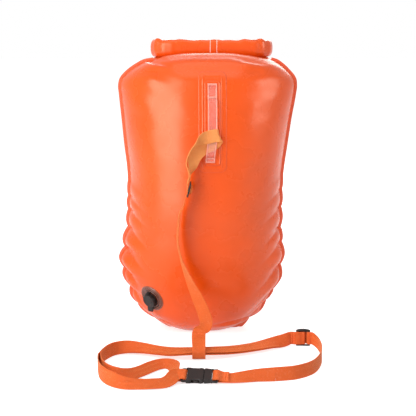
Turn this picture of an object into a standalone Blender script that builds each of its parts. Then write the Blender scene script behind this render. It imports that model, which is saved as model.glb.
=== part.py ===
"""Open water swim buoy: an inflated dry bag with a leash and a waist belt.

Metres, +Z up. The bag stands on the floor on its flattened base, the origin is the middle of
that base, and the viewer looks along +Y. The waist belt stands on its edge in front of the bag.
"""
import math

import bmesh
import bpy
import numpy as np
from mathutils import Matrix, Vector

# Bag, driving sizes
BAG_HEIGHT = 0.441
BAG_HALF_WIDTH = 0.140
BAG_HALF_DEPTH = 0.100
BAG_LEAN = 0.012
SHEET_WALL = 0.0006
LINER_WALL = 0.0004
CLEARANCE = 0.0003
SEAM_FLANGE = 0.0042
SCALLOP_HEIGHT = 0.0024
SCALLOP_PITCH_SHARE = 0.076
SCALLOP_SHIFT_LEFT_SHARE = 0.017
SCALLOP_SHIFT_RIGHT_SHARE = -0.009
BAG_ROWS_LOW = 8
BAG_ROWS_SCALLOPED = 26
BAG_ROWS_HIGH = 14
BAG_COLUMNS = 12
LINER_BASE_RISE = 0.0026

# Each row: share of the way up, half width and height of the side seam
SEAM_OUTLINE_SHARES = (
    (0.000, 0.321, 0.000), (0.030, 0.457, 0.023), (0.055, 0.550, 0.045), (0.090, 0.664, 0.082),
    (0.140, 0.795, 0.134), (0.210, 0.872, 0.204), (0.300, 0.907, 0.295), (0.420, 0.882, 0.420),
    (0.550, 0.876, 0.549), (0.680, 0.900, 0.680), (0.800, 0.950, 0.800), (0.900, 0.996, 0.900),
    (0.930, 0.990, 0.925), (0.955, 0.932, 0.952), (0.980, 0.820, 0.982), (1.000, 0.693, 1.000),
)
# Each row: share of the way up, depth and height of the middle of a panel
FRONT_PROFILE_SHARES = (
    (0.000, -0.035, -0.004), (0.030, 0.210, -0.004), (0.055, 0.350, 0.008), (0.090, 0.510, 0.032),
    (0.140, 0.680, 0.080), (0.210, 0.840, 0.160), (0.300, 0.945, 0.275), (0.420, 0.995, 0.410),
    (0.550, 1.000, 0.545), (0.680, 0.985, 0.680), (0.800, 0.945, 0.806), (0.880, 0.875, 0.893),
    (0.940, 0.740, 0.962), (0.970, 0.530, 1.005), (0.988, 0.250, 1.016), (1.000, 0.022, 0.991),
)
BACK_PROFILE_SHARES = (
    (0.000, 0.063, -0.004), (0.030, 0.250, -0.004), (0.055, 0.370, 0.008), (0.090, 0.520, 0.032),
    (0.140, 0.690, 0.080), (0.210, 0.850, 0.160), (0.300, 0.955, 0.275), (0.420, 1.000, 0.410),
    (0.550, 1.000, 0.545), (0.680, 0.975, 0.680), (0.800, 0.910, 0.806), (0.880, 0.820, 0.888),
    (0.940, 0.700, 0.940), (0.970, 0.540, 0.970), (0.988, 0.280, 0.984), (1.000, 0.022, 0.991),
)
SCALLOP_SPAN_SHARES = (0.12, 0.18, 0.52, 0.60)
SECTION_ROUND_POWER = 2.4
SECTION_EDGE_POWER = 0.6
SECTION_RISE_POWER = 3.0
SURFACE_STEP_SHARE = 1e-4
LAY_ROUNDS = 8

# Rolled mouth
ROLL_HEIGHT = 0.031
ROLL_RISE = 0.0345
ROLL_TURNS = 2.5
ROLL_POINTS_PER_TURN = 8
ROLL_PITCH = 0.0024
ROLL_SHEET_WALL = 0.0012
ROLL_CORE_HALF_WALL = 0.0019
ROLL_STRAIGHT_HALF = 0.0645
ROLL_BEND_RADIUS = 0.028
ROLL_BEND_STEPS = 8
ROLL_TAIL_BELOW = 0.0018
STIFFENER_WALL = 0.0010
STIFFENER_HEIGHT = 0.0090

# Webbing
WEBBING_WIDTH = 0.020
WEBBING_WALL = 0.0014
LAYER_PITCH = 0.0021
SEWN_LENGTH = 0.015
TAB_WIDTH_SHARE = 0.8
ROUTE_STEPS = 3
LOOP_STEPS = 2

# Three-bar slider
SLIDER_LENGTH = 0.022
SLIDER_WIDTH = 0.026
SLIDER_WALL = 0.0024
SLIDER_BAR = 0.003
SLIDER_EDGE = 0.0006
SLIDER_STRAIGHT = 0.021
SLIDER_RAIL_SHARE = 0.8
SEWN_BEND_SHARE = 0.7
RUNNING_BEND_SHARES = (0.62, 0.98, 1.12, 1.5)

# Side-release buckle
BUCKLE_WIDTH = 0.026
BUCKLE_WALL = 0.0078
BUCKLE_BODY_LENGTH = 0.0225
BUCKLE_WEB_END = 0.010
BUCKLE_BAR = 0.0034
BUCKLE_BAR_WALL = 0.003
BUCKLE_SLOT = 0.0058
BUCKLE_SIDE = 0.0022
BUCKLE_HOLLOW_WALL = 0.0050
BUCKLE_ARM_WALL = 0.0042
BUCKLE_ARM = 0.0026
BUCKLE_ARM_REACH = 0.017
BUCKLE_GUIDE = 0.0032
BUCKLE_EDGE = 0.0008
BUCKLE_HEAD_STEP = 0.0022
BUCKLE_WINDOW = 0.0085
BUCKLE_NOSE = 0.006
CUT_OVERRUN = 0.002
BAR_BEND_SHARE = 0.3
THIN_START_SHARE = 0.75
LATCH_SHARE = 0.45
ARM_TIP_SHARE = 0.5
GUIDE_ROOT_SHARE = 1.6
GUIDE_TIP_SHARE = 0.4
SEWN_START_SHARE = 2.2
BEVEL_ANGLE_DEGREES = 40

# Each row: share of the way from a half's mouth to its webbing end, and share of the half width
BUCKLE_BODY_SHARES = (
    (0.00, 0.90), (0.13, 1.00), (0.22, 0.93), (0.50, 0.93), (0.60, 1.00), (0.94, 1.00), (1.00, 0.85),
)
BUCKLE_BASE_SHARES = (
    (0.00, 0.90), (0.08, 0.97), (0.50, 0.86), (0.67, 0.97), (0.93, 1.00), (1.00, 0.85),
)

# Patch and clear strap on the front panel
PATCH_WIDTH = 0.043
PATCH_LENGTH_SHARE = 0.345
PATCH_LENGTH = BAG_HEIGHT * PATCH_LENGTH_SHARE
PATCH_WALL = 0.0008
PATCH_CORNER = 0.010
PATCH_RIGHT = 0.0062
PATCH_MIDDLE_SHARE = 0.785
PATCH_ROWS = 11
PATCH_COLUMNS = 4
PATCH_CORNER_POINTS = 4
BASE_SHEET_WIDTH = 0.025
BASE_SHEET_LENGTH_SHARE = 0.295
BASE_SHEET_LENGTH = BAG_HEIGHT * BASE_SHEET_LENGTH_SHARE
CLEAR_STRAP_WIDTH = 0.0146
CLEAR_STRAP_WALL = 0.0016
CLEAR_STRAP_BEAD = 0.0022
CLEAR_STRAP_LENGTH_SHARE = 0.2744
CLEAR_STRAP_LENGTH = BAG_HEIGHT * CLEAR_STRAP_LENGTH_SHARE
CLEAR_STRAP_TOP_WELD = 0.022
CLEAR_STRAP_LOW_WELD = 0.006
CLEAR_STRAP_BEND = 0.006
CLEAR_STRAP_LIFT = 0.0069

# Leash loop, as places right of, up from and out from the middle of the patch
LEASH_FRONT_OUT = 0.0102
LEASH_BACK_OUT = 0.0041
LEASH_TURN_RIGHT = 0.0070
LEASH_TURN_UP = -0.0190
LEASH_TURN_SLOPE = 42.0
LEASH_TURN_STEPS = 6
LEASH_FRONT_ROUTE = (
    (-0.0005, -0.0198, 0.0104), (-0.0090, -0.0220, 0.0115), (-0.0175, -0.0255, 0.0145),
    (-0.0250, -0.0320, 0.0170), (-0.0350, -0.0450, 0.0180), (-0.0400, -0.0610, 0.0150),
)
LEASH_FRONT_ACROSS_SHARES = (
    (-0.25, 0.97, 0.0), (-0.27, 0.94, 0.18), (-0.36, 0.68, 0.64), (-0.21, 0.16, 0.97),
    (-0.09, 0.04, 1.0), (-0.05, 0.01, 1.0),
)
LEASH_RETURN_ROUTE = (
    (0.0020, -0.0305, 0.0041), (-0.0080, -0.0356, 0.0042), (-0.0162, -0.0424, 0.0064),
    (-0.0238, -0.0540, 0.0108), (-0.0300, -0.0670, 0.0128),
)
LEASH_RETURN_ACROSS_SHARES = (
    (-0.63, 0.78, 0.0), (-0.56, 0.82, 0.08), (-0.66, 0.70, 0.25), (-0.66, 0.42, 0.60),
    (-0.42, 0.09, 0.90),
)
LEASH_SLIDER_PLACE = (-0.0222, -0.1165, 0.2491)
LEASH_SLIDER_TILT = 13.0
LEASH_STRAIGHT = 0.005
LEASH_ROUTE = (
    (-0.0362, -0.1175, 0.2120, 84.0), (-0.0392, -0.1185, 0.1920, 77.0), (-0.0397, -0.1190, 0.1660, 73.0),
    (-0.0345, -0.1200, 0.1420, 63.0), (-0.0290, -0.1210, 0.1260, 50.0), (-0.0190, -0.1240, 0.1000, 32.0),
    (-0.0095, -0.1310, 0.0800, 18.0), (-0.0015, -0.1400, 0.0620, 8.0), (0.0035, -0.1500, 0.0460, 0.0),
    (-0.0020, -0.1590, 0.0395, 0.0),
)

# Tail loop of the leash, and the belt that runs through it
TAIL_RIGHT = -0.007
TAIL_FRONT = -0.184
TAIL_RISE = 0.0132
TAIL_RADIUS = 0.0122
TAIL_APEX_BACK = 0.018
TAIL_APEX_UP = 0.0235
TAIL_SEWN = 0.012
TAIL_ARC_STEPS = 9
TAIL_END_SHARE = 1.3

# Belt route: places right, back and up, and the turn of the webbing from upright, in degrees
BELT_SLIDER_PLACE = (0.156, -0.113, 0.013)
BELT_SLIDER_YAW = -4.0
BELT_STRAIGHT_RIGHT = 0.0135
BELT_BUCKLE_PLACE = (-0.005, -0.293, 0.0094)
BELT_BUCKLE_YAW = -5.0
BELT_BUCKLE_LEAN = 65.0
BELT_REAR_ROUTE = (
    (0.118, -0.1235, 0.0112, 12.0), (0.095, -0.1385, 0.0102, 28.0), (0.065, -0.1570, 0.0100, 50.0),
    (0.033, -0.1730, 0.0108, 68.0), (0.010, -0.1820, 0.0115, 80.0), (-0.008, -0.1845, 0.0117, 84.0),
    (-0.026, -0.1835, 0.0112, 78.0), (-0.050, -0.1790, 0.0104, 62.0), (-0.075, -0.1700, 0.0100, 38.0),
    (-0.098, -0.1590, 0.0102, 15.0), (-0.120, -0.1545, 0.0103, 3.0), (-0.137, -0.1640, 0.0102, 0.0),
    (-0.149, -0.1880, 0.0102, 0.0), (-0.155, -0.2200, 0.0102, 0.0),
)
BELT_FRONT_LEFT_ROUTE = (
    (-0.1515, -0.2550, 0.0102, 0.0), (-0.1440, -0.2830, 0.0102, -10.0), (-0.1300, -0.3060, 0.0097, -28.0),
    (-0.1100, -0.3190, 0.0074, -50.0), (-0.0890, -0.3205, 0.0064, -60.0), (-0.0700, -0.3165, 0.0066, -62.0),
    (-0.0550, -0.3070, 0.0088, -65.0), (-0.0450, -0.2980, 0.0114, -65.0),
)
BELT_RETURN_ROUTE = (
    (-0.0405, -0.2870, 0.0066, 65.0), (-0.0455, -0.2770, 0.0080, 54.0), (-0.0465, -0.2600, 0.0092, 38.0),
    (-0.0470, -0.2420, 0.0094, 36.0), (-0.0540, -0.2305, 0.0080, 48.0), (-0.0640, -0.2290, 0.0068, 57.0),
    (-0.0750, -0.2390, 0.0064, 60.0), (-0.0880, -0.2590, 0.0064, 60.0), (-0.1030, -0.2780, 0.0072, 52.0),
    (-0.1180, -0.2860, 0.0090, 36.0), (-0.1300, -0.2820, 0.0100, 20.0), (-0.1400, -0.2680, 0.0102, 8.0),
    (-0.1465, -0.2480, 0.0102, 0.0),
)
BELT_RIGHT_ROUTE = (
    (0.1752, -0.1270, 0.0112, 0.0), (0.1788, -0.1500, 0.0102, 0.0), (0.1780, -0.1850, 0.0102, 0.0),
    (0.1715, -0.2230, 0.0102, 2.0), (0.1570, -0.2570, 0.0101, 8.0), (0.1320, -0.2790, 0.0099, 16.0),
    (0.1020, -0.2870, 0.0097, 24.0), (0.0760, -0.2880, 0.0084, 44.0),
)

# Inflation valves
VALVE_SIDE_SHARE = -0.70
VALVE_HEIGHT_SHARE = 0.178
VALVE_SEGMENTS = 20
FLANGE_RADIUS = 0.0225
FLANGE_WALL = 0.0010
FLANGE_RIDGE = 0.0008
FLANGE_RIDGE_RADIUS = 0.0172
FLANGE_RIDGE_WIDTH = 0.0022
COLLAR_RADIUS = 0.0098
COLLAR_BORE = 0.0072
COLLAR_ABOVE = 0.0070
COLLAR_BELOW = 0.0072
COLLAR_LIP = 0.0013
COLLAR_LIP_WALL = 0.0009
CHECK_ROOM = 0.0030
CHECK_WALL = 0.0010
CAP_WALL = 0.0012
CAP_CROWN = 0.0016
CAP_GAP = 0.0004
RETAINER_RISE = 0.0016
RETAINER_WALL = 0.0012
RETAINER_BAND = 0.0026
HINGE_LUG_REACH = 0.0024
HINGE_LUG_WIDTH = 0.0060
CAP_TAB_REACH = 0.0050
CAP_TAB_WIDTH = 0.0085
CAP_TAB_WALL = 0.0014


# Shared helpers

def clear_scene():
    """Remove every object of the open scene."""
    for thing in list(bpy.data.objects):
        bpy.data.objects.remove(thing, do_unlink=True)


def make_material(name, colour, roughness, alpha=1.0):
    """Return a Principled material with the given colour and finish."""
    material = bpy.data.materials.new(name)
    material.use_nodes = True
    shader = material.node_tree.nodes["Principled BSDF"]
    shader.inputs["Base Color"].default_value = (*colour, 1.0)
    shader.inputs["Roughness"].default_value = roughness
    shader.inputs["Metallic"].default_value = 0.0
    shader.inputs["Alpha"].default_value = alpha
    return material


BAG_ORANGE = (0.87, 0.12, 0.02)
NECK_ORANGE = (0.85, 0.10, 0.02)
WEBBING_ORANGE = (0.86, 0.15, 0.04)
CLEAR_PVC = (0.90, 0.55, 0.50)
BLACK_PLASTIC = (0.03, 0.025, 0.022)
SMOKED_PVC = (0.20, 0.08, 0.05)
LINER_GREY = (0.55, 0.56, 0.58)


def add_mesh_object(name, points, faces, colour, roughness, origin=(0, 0, 0), alpha=1.0):
    """Make one object from points and faces, with its origin at the given place."""
    start = Vector(origin)
    mesh = bpy.data.meshes.new(name)
    mesh.from_pydata([tuple(Vector(point) - start) for point in points], [], faces)
    shape = bmesh.new()
    shape.from_mesh(mesh)
    bmesh.ops.recalc_face_normals(shape, faces=shape.faces)
    shape.to_mesh(mesh)
    shape.free()
    thing = bpy.data.objects.new(name, mesh)
    thing.location = start
    thing.data.materials.append(make_material(name, colour, roughness, alpha))
    bpy.context.collection.objects.link(thing)
    return thing


def smooth_read(table, places):
    """Read a table smoothly: its first column is the place, the others are the values."""
    rows = np.array(table, dtype=float)
    keys = rows[:, 0]
    values = rows[:, 1:]
    slopes = np.gradient(values, keys, axis=0)
    places = np.asarray(places, dtype=float)
    index = np.clip(np.searchsorted(keys, places, side="right") - 1, 0, len(keys) - 2)
    span = (keys[index + 1] - keys[index])[..., None]
    part = ((places - keys[index])[..., None]) / span
    first = (1 + 2 * part) * (1 - part) ** 2 * values[index] + part * (1 - part) ** 2 * span * slopes[index]
    last = part ** 2 * (3 - 2 * part) * values[index + 1]
    last = last + part ** 2 * (part - 1) * span * slopes[index + 1]
    return first + last


def smooth_route(points, steps=ROUTE_STEPS):
    """Pass a smooth curve through a route's points, with the given steps from each to the next."""
    rows = np.array(points, dtype=float)
    table = np.column_stack([np.arange(len(rows)), rows])
    places = np.linspace(0, len(rows) - 1, (len(rows) - 1) * steps + 1)
    return smooth_read(table, places)


def unit(vectors):
    """Scale each vector to length one."""
    vectors = np.asarray(vectors, dtype=float)
    return vectors / np.linalg.norm(vectors, axis=-1, keepdims=True)


def sweep(name, centres, across, section, colour, roughness, origin=(0, 0, 0), alpha=1.0):
    """Carry a flat closed section along a line of centres; across gives the section's first axis."""
    centres = np.asarray(centres, dtype=float)
    tangents = unit(np.gradient(centres, axis=0))
    across = np.asarray(across, dtype=float)
    across = unit(across - tangents * np.sum(across * tangents, axis=1, keepdims=True))
    normals = np.cross(across, tangents)
    outline = np.array(section, dtype=float)
    rings = (centres[:, None, :] + across[:, None, :] * outline[None, :, :1]
             + normals[:, None, :] * outline[None, :, 1:])
    count = len(centres)
    size = len(outline)
    faces = []
    for ring in range(count - 1):
        for corner in range(size):
            following = (corner + 1) % size
            faces.append((ring * size + corner, ring * size + following,
                          (ring + 1) * size + following, (ring + 1) * size + corner))
    faces.append(tuple(range(size)))
    faces.append(tuple((count - 1) * size + corner for corner in range(size)))
    return add_mesh_object(name, rings.reshape(-1, 3), faces, colour, roughness, origin, alpha)


def flat_section(width, wall):
    """Rectangular section of a strap."""
    return ((-width / 2, -wall / 2), (width / 2, -wall / 2), (width / 2, wall / 2), (-width / 2, wall / 2))


def grid_shell(name, outer, inner, colour, roughness, origin=(0, 0, 0), alpha=1.0):
    """Close two matching grids of points into one thin-walled solid."""
    rows, columns = outer.shape[:2]
    points = np.concatenate([outer.reshape(-1, 3), inner.reshape(-1, 3)])
    shift = rows * columns
    faces = []
    for row in range(rows - 1):
        for column in range(columns - 1):
            corner = row * columns + column
            quad = (corner, corner + 1, corner + columns + 1, corner + columns)
            faces.append(quad)
            faces.append(tuple(shift + index for index in reversed(quad)))
    edge = [column for column in range(columns)]
    edge += [row * columns + columns - 1 for row in range(1, rows)]
    edge += [(rows - 1) * columns + column for column in range(columns - 2, -1, -1)]
    edge += [row * columns for row in range(rows - 2, 0, -1)]
    for index, corner in enumerate(edge):
        following = edge[(index + 1) % len(edge)]
        faces.append((corner, following, following + shift, corner + shift))
    return add_mesh_object(name, points, faces, colour, roughness, origin, alpha)


def ring_shell(name, rings, colour, roughness, origin=(0, 0, 0), alpha=1.0):
    """Close a list of rings of points, the last joined to the first, into one ring-shaped solid."""
    rings = np.asarray(rings, dtype=float)
    count, size = rings.shape[:2]
    faces = []
    for ring in range(count):
        next_ring = (ring + 1) % count
        for corner in range(size):
            following = (corner + 1) % size
            faces.append((ring * size + corner, ring * size + following,
                          next_ring * size + following, next_ring * size + corner))
    return add_mesh_object(name, rings.reshape(-1, 3), faces, colour, roughness, origin, alpha)


def turned(name, profile, frame, colour, roughness, origin=None, segments=VALVE_SEGMENTS, alpha=1.0):
    """Turn a closed profile of radius and height about a frame's third axis."""
    shape = bmesh.new()
    corners = [shape.verts.new((radius, 0, height)) for radius, height in profile]
    count = len(corners)
    edges = [shape.edges.new((corners[index], corners[(index + 1) % count])) for index in range(count)]
    bmesh.ops.spin(shape, geom=corners + edges, cent=(0, 0, 0), axis=(0, 0, 1),
                   angle=2 * math.pi, steps=segments, use_merge=True)
    bmesh.ops.remove_doubles(shape, verts=shape.verts, dist=CLEARANCE / 10)
    return finish_shape(name, shape, frame, colour, roughness, origin, alpha)


def finish_shape(name, shape, frame, colour, roughness, origin=None, alpha=1.0):
    """Turn a bmesh shape in a frame's own axes into an object."""
    place = Matrix.Translation(Vector(origin)) if origin is not None else frame
    bmesh.ops.transform(shape, matrix=place.inverted() @ frame, verts=shape.verts)
    bmesh.ops.recalc_face_normals(shape, faces=shape.faces)
    mesh = bpy.data.meshes.new(name)
    shape.to_mesh(mesh)
    shape.free()
    thing = bpy.data.objects.new(name, mesh)
    thing.matrix_world = place
    thing.data.materials.append(make_material(name, colour, roughness, alpha))
    bpy.context.collection.objects.link(thing)
    return thing


def slab_shape(outline, wall):
    """Extrude a flat outline to a slab, centred on its plane."""
    shape = bmesh.new()
    corners = [shape.verts.new((along, side, -wall / 2)) for along, side in outline]
    face = shape.faces.new(corners)
    grown = bmesh.ops.extrude_face_region(shape, geom=[face])
    moved = [item for item in grown["geom"] if isinstance(item, bmesh.types.BMVert)]
    bmesh.ops.translate(shape, verts=moved, vec=(0, 0, wall))
    return shape


def box_outline(low_along, high_along, low_side, high_side):
    """Outline of a rectangle."""
    return ((low_along, low_side), (high_along, low_side), (high_along, high_side), (low_along, high_side))


def add_cutter(name, outline, wall, frame):
    """Make a hidden slab for a Boolean."""
    cutter = finish_shape(name, slab_shape(outline, wall), frame, BLACK_PLASTIC, 0.5)
    cutter.hide_render = True
    cutter.display_type = "WIRE"
    return cutter


def add_boolean(thing, other, operation):
    """Join or cut a solid with another."""
    step = thing.modifiers.new(other.name, "BOOLEAN")
    step.operation = operation
    step.solver = "EXACT"
    step.object = other


def add_bevel(thing, width):
    """Soften the corners of a moulded piece."""
    bevel = thing.modifiers.new("edge", "BEVEL")
    bevel.width = width
    bevel.segments = 1
    bevel.limit_method = "ANGLE"
    bevel.angle_limit = math.radians(BEVEL_ANGLE_DEGREES)


def apply_modifiers(thing):
    """Fix the result of the modifiers into the mesh."""
    graph = bpy.context.evaluated_depsgraph_get()
    mesh = bpy.data.meshes.new_from_object(thing.evaluated_get(graph))
    thing.modifiers.clear()
    thing.data = mesh


def frame_of(place, along, side, out):
    """Frame with the given place and three axes."""
    axes = [Vector(along).normalized(), Vector(side).normalized(), Vector(out).normalized()]
    frame = Matrix([axis for axis in axes]).transposed().to_4x4()
    frame.translation = Vector(place)
    return frame


def local_line(frame, points):
    """Places in a frame, given along, side and out, as world places."""
    return np.array([tuple(frame @ Vector(point)) for point in points])


# Bag

def half_stack():
    """Half thickness of the side weld, from the seam plane to the outer face of a panel."""
    return CLEARANCE / 2 + LINER_WALL + CLEARANCE + SHEET_WALL


def lean_at(height):
    """How far the bag leans to the right at a height."""
    return BAG_LEAN * (np.asarray(height) / BAG_HEIGHT) ** 2


def row_shares():
    """Shares of the way up for the rows of the bag, closest where the side is scalloped."""
    low, _, _, high = SCALLOP_SPAN_SHARES
    turn = np.linspace(0, 1, BAG_ROWS_HIGH)
    return np.unique(np.concatenate([
        np.linspace(0, low, BAG_ROWS_LOW), np.linspace(low, high, BAG_ROWS_SCALLOPED),
        high + (1 - high) * np.sin(turn * math.pi / 2)]))


def scallop_at(height, left):
    """Growth of the half width at a height, lobes with sharp valleys between them."""
    start, full, fade, end = (share * BAG_HEIGHT for share in SCALLOP_SPAN_SHARES)
    rising = np.clip((height - start) / (full - start), 0, 1)
    strength = rising * np.clip((end - height) / (end - fade), 0, 1)
    shift = np.where(left, SCALLOP_SHIFT_LEFT_SHARE, SCALLOP_SHIFT_RIGHT_SHARE)
    lobe = np.abs(np.sin(math.pi * (height / BAG_HEIGHT + shift) / SCALLOP_PITCH_SHARE))
    return SCALLOP_HEIGHT * strength * (2 * lobe - 1)


def seam_points(shares, left):
    """Right and up places of one side seam, at its root."""
    values = smooth_read(SEAM_OUTLINE_SHARES, shares)
    height = values[..., 1] * BAG_HEIGHT
    half = values[..., 0] * BAG_HALF_WIDTH + scallop_at(height, left)
    return np.where(left, -half, half), height


def panel_points(side_shares, shares, profile, facing):
    """Outer surface of a panel at shares across and up; facing is -1 in front and 1 at the back.

    A row's middle follows the profile, its ends lie on the side seams, and between them the
    depth falls off as a rounded lens.
    """
    side_shares, shares = np.broadcast_arrays(side_shares, shares)
    seam_right, seam_height = seam_points(shares, side_shares < 0)
    values = smooth_read(profile, shares)
    stack = half_stack()
    reach = np.abs(side_shares)
    swell = (1 - np.minimum(reach, 1) ** SECTION_ROUND_POWER) ** SECTION_EDGE_POWER
    depth = stack + (values[..., 0] * BAG_HALF_DEPTH - stack) * swell
    rise = 1 - reach ** SECTION_RISE_POWER
    height = seam_height + (values[..., 1] * BAG_HEIGHT - seam_height) * rise
    height = np.maximum(height, 0)
    right = np.abs(seam_right) * side_shares + lean_at(height)
    return np.stack([right, facing * depth, height], axis=-1)


def panel_normals(side_shares, shares, profile, facing):
    """Unit outward direction of a panel's surface."""
    step = SURFACE_STEP_SHARE
    side_shares = np.clip(side_shares, step - 1, 1 - 2 * step)
    shares = np.clip(shares, 0, 1 - step)
    across = (panel_points(side_shares + step, shares, profile, facing)
              - panel_points(side_shares, shares, profile, facing))
    upward = (panel_points(side_shares, shares + step, profile, facing)
              - panel_points(side_shares, shares, profile, facing))
    return unit(np.cross(across, upward)) * -facing


def flange_tip(shares, left):
    """Right and up places of the outer edge of one side weld."""
    right, height = seam_points(shares, left)
    along = unit(np.stack([np.gradient(right), np.gradient(height)], axis=-1))
    out_right = np.where(left, -along[:, 1], along[:, 1])
    out_up = np.where(left, along[:, 0], -along[:, 0])
    return right + out_right * SEAM_FLANGE, np.maximum(height + out_up * SEAM_FLANGE, 0)


def build_panel(name, profile, facing):
    """One outer sheet of the bag, with its weld flange along both sides."""
    shares = row_shares()
    sides = np.sin(np.linspace(-math.pi / 2, math.pi / 2, BAG_COLUMNS + 1))
    sides[0] = -1
    sides[-1] = 1
    grid_sides, grid_shares = np.meshgrid(sides, shares)
    outer = panel_points(grid_sides, grid_shares, profile, facing)
    inward = -panel_normals(grid_sides, grid_shares, profile, facing)
    inward[:, 0] = (0, -facing, 0)
    inward[:, -1] = (0, -facing, 0)
    inward[0, 1:-1] = (0, 0, 1)
    outer_columns = [outer]
    inward_columns = [inward]
    for left in (True, False):
        right, height = flange_tip(shares, np.full(len(shares), left))
        depth = np.full(len(shares), facing * half_stack())
        tip = np.stack([right + lean_at(height), depth, height], axis=-1)
        flat = np.zeros_like(tip)
        flat[:, 1] = -facing
        if left:
            outer_columns.insert(0, tip[:, None])
            inward_columns.insert(0, flat[:, None])
        else:
            outer_columns.append(tip[:, None])
            inward_columns.append(flat[:, None])
    outer = np.concatenate(outer_columns, axis=1)
    inward = np.concatenate(inward_columns, axis=1)
    inward[0, :2] = unit((0, -facing, 1))
    inward[0, -2:] = unit((0, -facing, 1))
    inner = outer + inward * SHEET_WALL
    return grid_shell(name, outer, inner, BAG_ORANGE, 0.35)


def build_liner(name, facing):
    """One inner sheet of the bag, flat, welded between the outer sheets along the sides."""
    shares = row_shares()
    left_right, left_up = flange_tip(shares, np.full(len(shares), True))
    right_right, right_up = flange_tip(shares, np.full(len(shares), False))
    outline = list(zip(left_right[::-1], left_up[::-1])) + list(zip(right_right, right_up))
    near = facing * CLEARANCE / 2
    far = facing * (CLEARANCE / 2 + LINER_WALL)
    top = FRONT_PROFILE_SHARES[-1][2] * BAG_HEIGHT
    places = []
    for right, up in outline:
        up = min(max(up, LINER_BASE_RISE), top)
        places.append((right + lean_at(up), up))
    kept = [place for index, place in enumerate(places) if place != places[index - 1]]
    points = [(right, near, up) for right, up in kept] + [(right, far, up) for right, up in kept]
    count = len(kept)
    faces = [tuple(range(count)), tuple(range(2 * count - 1, count - 1, -1))]
    for index in range(count):
        following = (index + 1) % count
        faces.append((index, following, following + count, index + count))
    return add_mesh_object(name, points, faces, LINER_GREY, 0.6)


# Surface pieces on the front panel

def panel_spot(side_share, height_share, profile, facing):
    """Frame on a panel: right along the surface, up along it, and straight out."""
    point = panel_points(np.array(side_share), np.array(height_share), profile, facing)
    normal = panel_normals(np.array(side_share), np.array(height_share), profile, facing)
    right = unit(np.cross((0, 0, 1), normal))
    upward = np.cross(normal, right)
    return point, right, upward, normal


def lay_on_panel(spot_shares, along_right, along_up, profile, facing):
    """Shares across and up of places given by their distance right and up from a spot."""
    side_share, height_share = spot_shares
    point, right, upward, _ = panel_spot(side_share, height_share, profile, facing)
    sides = np.full(along_right.shape, float(side_share))
    shares = np.full(along_right.shape, float(height_share))
    step = SURFACE_STEP_SHARE
    for _ in range(LAY_ROUNDS):
        here = panel_points(sides, shares, profile, facing)
        by_side = (panel_points(sides + step, shares, profile, facing) - here) / step
        by_share = (panel_points(sides, shares + step, profile, facing) - here) / step
        miss_right = along_right - (here - point) @ right
        miss_up = along_up - (here - point) @ upward
        matrix = np.stack([np.stack([by_side @ right, by_share @ right], axis=-1),
                           np.stack([by_side @ upward, by_share @ upward], axis=-1)], axis=-2)
        change = np.linalg.solve(matrix, np.stack([miss_right, miss_up], axis=-1)[..., None])[..., 0]
        sides = sides + change[..., 0]
        shares = shares + change[..., 1]
    return sides, shares


def patch_side_share():
    """Share across the bag of the middle of the patch."""
    half = smooth_read(SEAM_OUTLINE_SHARES, PATCH_MIDDLE_SHARE)[0] * BAG_HALF_WIDTH
    return PATCH_RIGHT / half


def sheet_on_front(name, width, length, corner, lift, wall, colour, roughness):
    """Rounded flat sheet that follows the front panel, lifted off it by a small distance."""
    turn = np.linspace(0, math.pi / 2, PATCH_CORNER_POINTS)
    ends = length / 2 - corner + corner * np.sin(turn)
    halves = width / 2 - corner + corner * np.cos(turn)
    middle = np.linspace(-1, 1, PATCH_ROWS) * ends[0]
    ups = np.concatenate([-ends[:0:-1], middle, ends[1:]])
    widths = np.concatenate([halves[:0:-1], np.full(PATCH_ROWS, width / 2), halves[1:]])
    columns = np.linspace(-1, 1, PATCH_COLUMNS + 1)
    rights = widths[:, None] * columns[None, :]
    spot = (patch_side_share(), PATCH_MIDDLE_SHARE)
    sides, shares = lay_on_panel(spot, rights, np.broadcast_to(ups[:, None], rights.shape),
                                 FRONT_PROFILE_SHARES, -1)
    surface = panel_points(sides, shares, FRONT_PROFILE_SHARES, -1)
    normals = panel_normals(sides, shares, FRONT_PROFILE_SHARES, -1)
    return grid_shell(name, surface + normals * (lift + wall), surface + normals * lift, colour, roughness)


def strap_frame():
    """Frame at the middle of the patch: right, up along the front of the bag, and out."""
    point, right, upward, normal = panel_spot(patch_side_share(), PATCH_MIDDLE_SHARE,
                                              FRONT_PROFILE_SHARES, -1)
    return frame_of(point, right, upward, normal)


def base_sheet_lift():
    """Height of the second sheet's underside over the panel."""
    return CLEARANCE + PATCH_WALL + CLEARANCE


def build_patches():
    """The rounded patch and the narrower sheet on it."""
    sheet_on_front("strap_patch", PATCH_WIDTH, PATCH_LENGTH, PATCH_CORNER, CLEARANCE, PATCH_WALL,
                   BAG_ORANGE, 0.3)
    sheet_on_front("strap_base_sheet", BASE_SHEET_WIDTH, BASE_SHEET_LENGTH, PATCH_CORNER / 2,
                   base_sheet_lift(), PATCH_WALL, BAG_ORANGE, 0.3)


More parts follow.
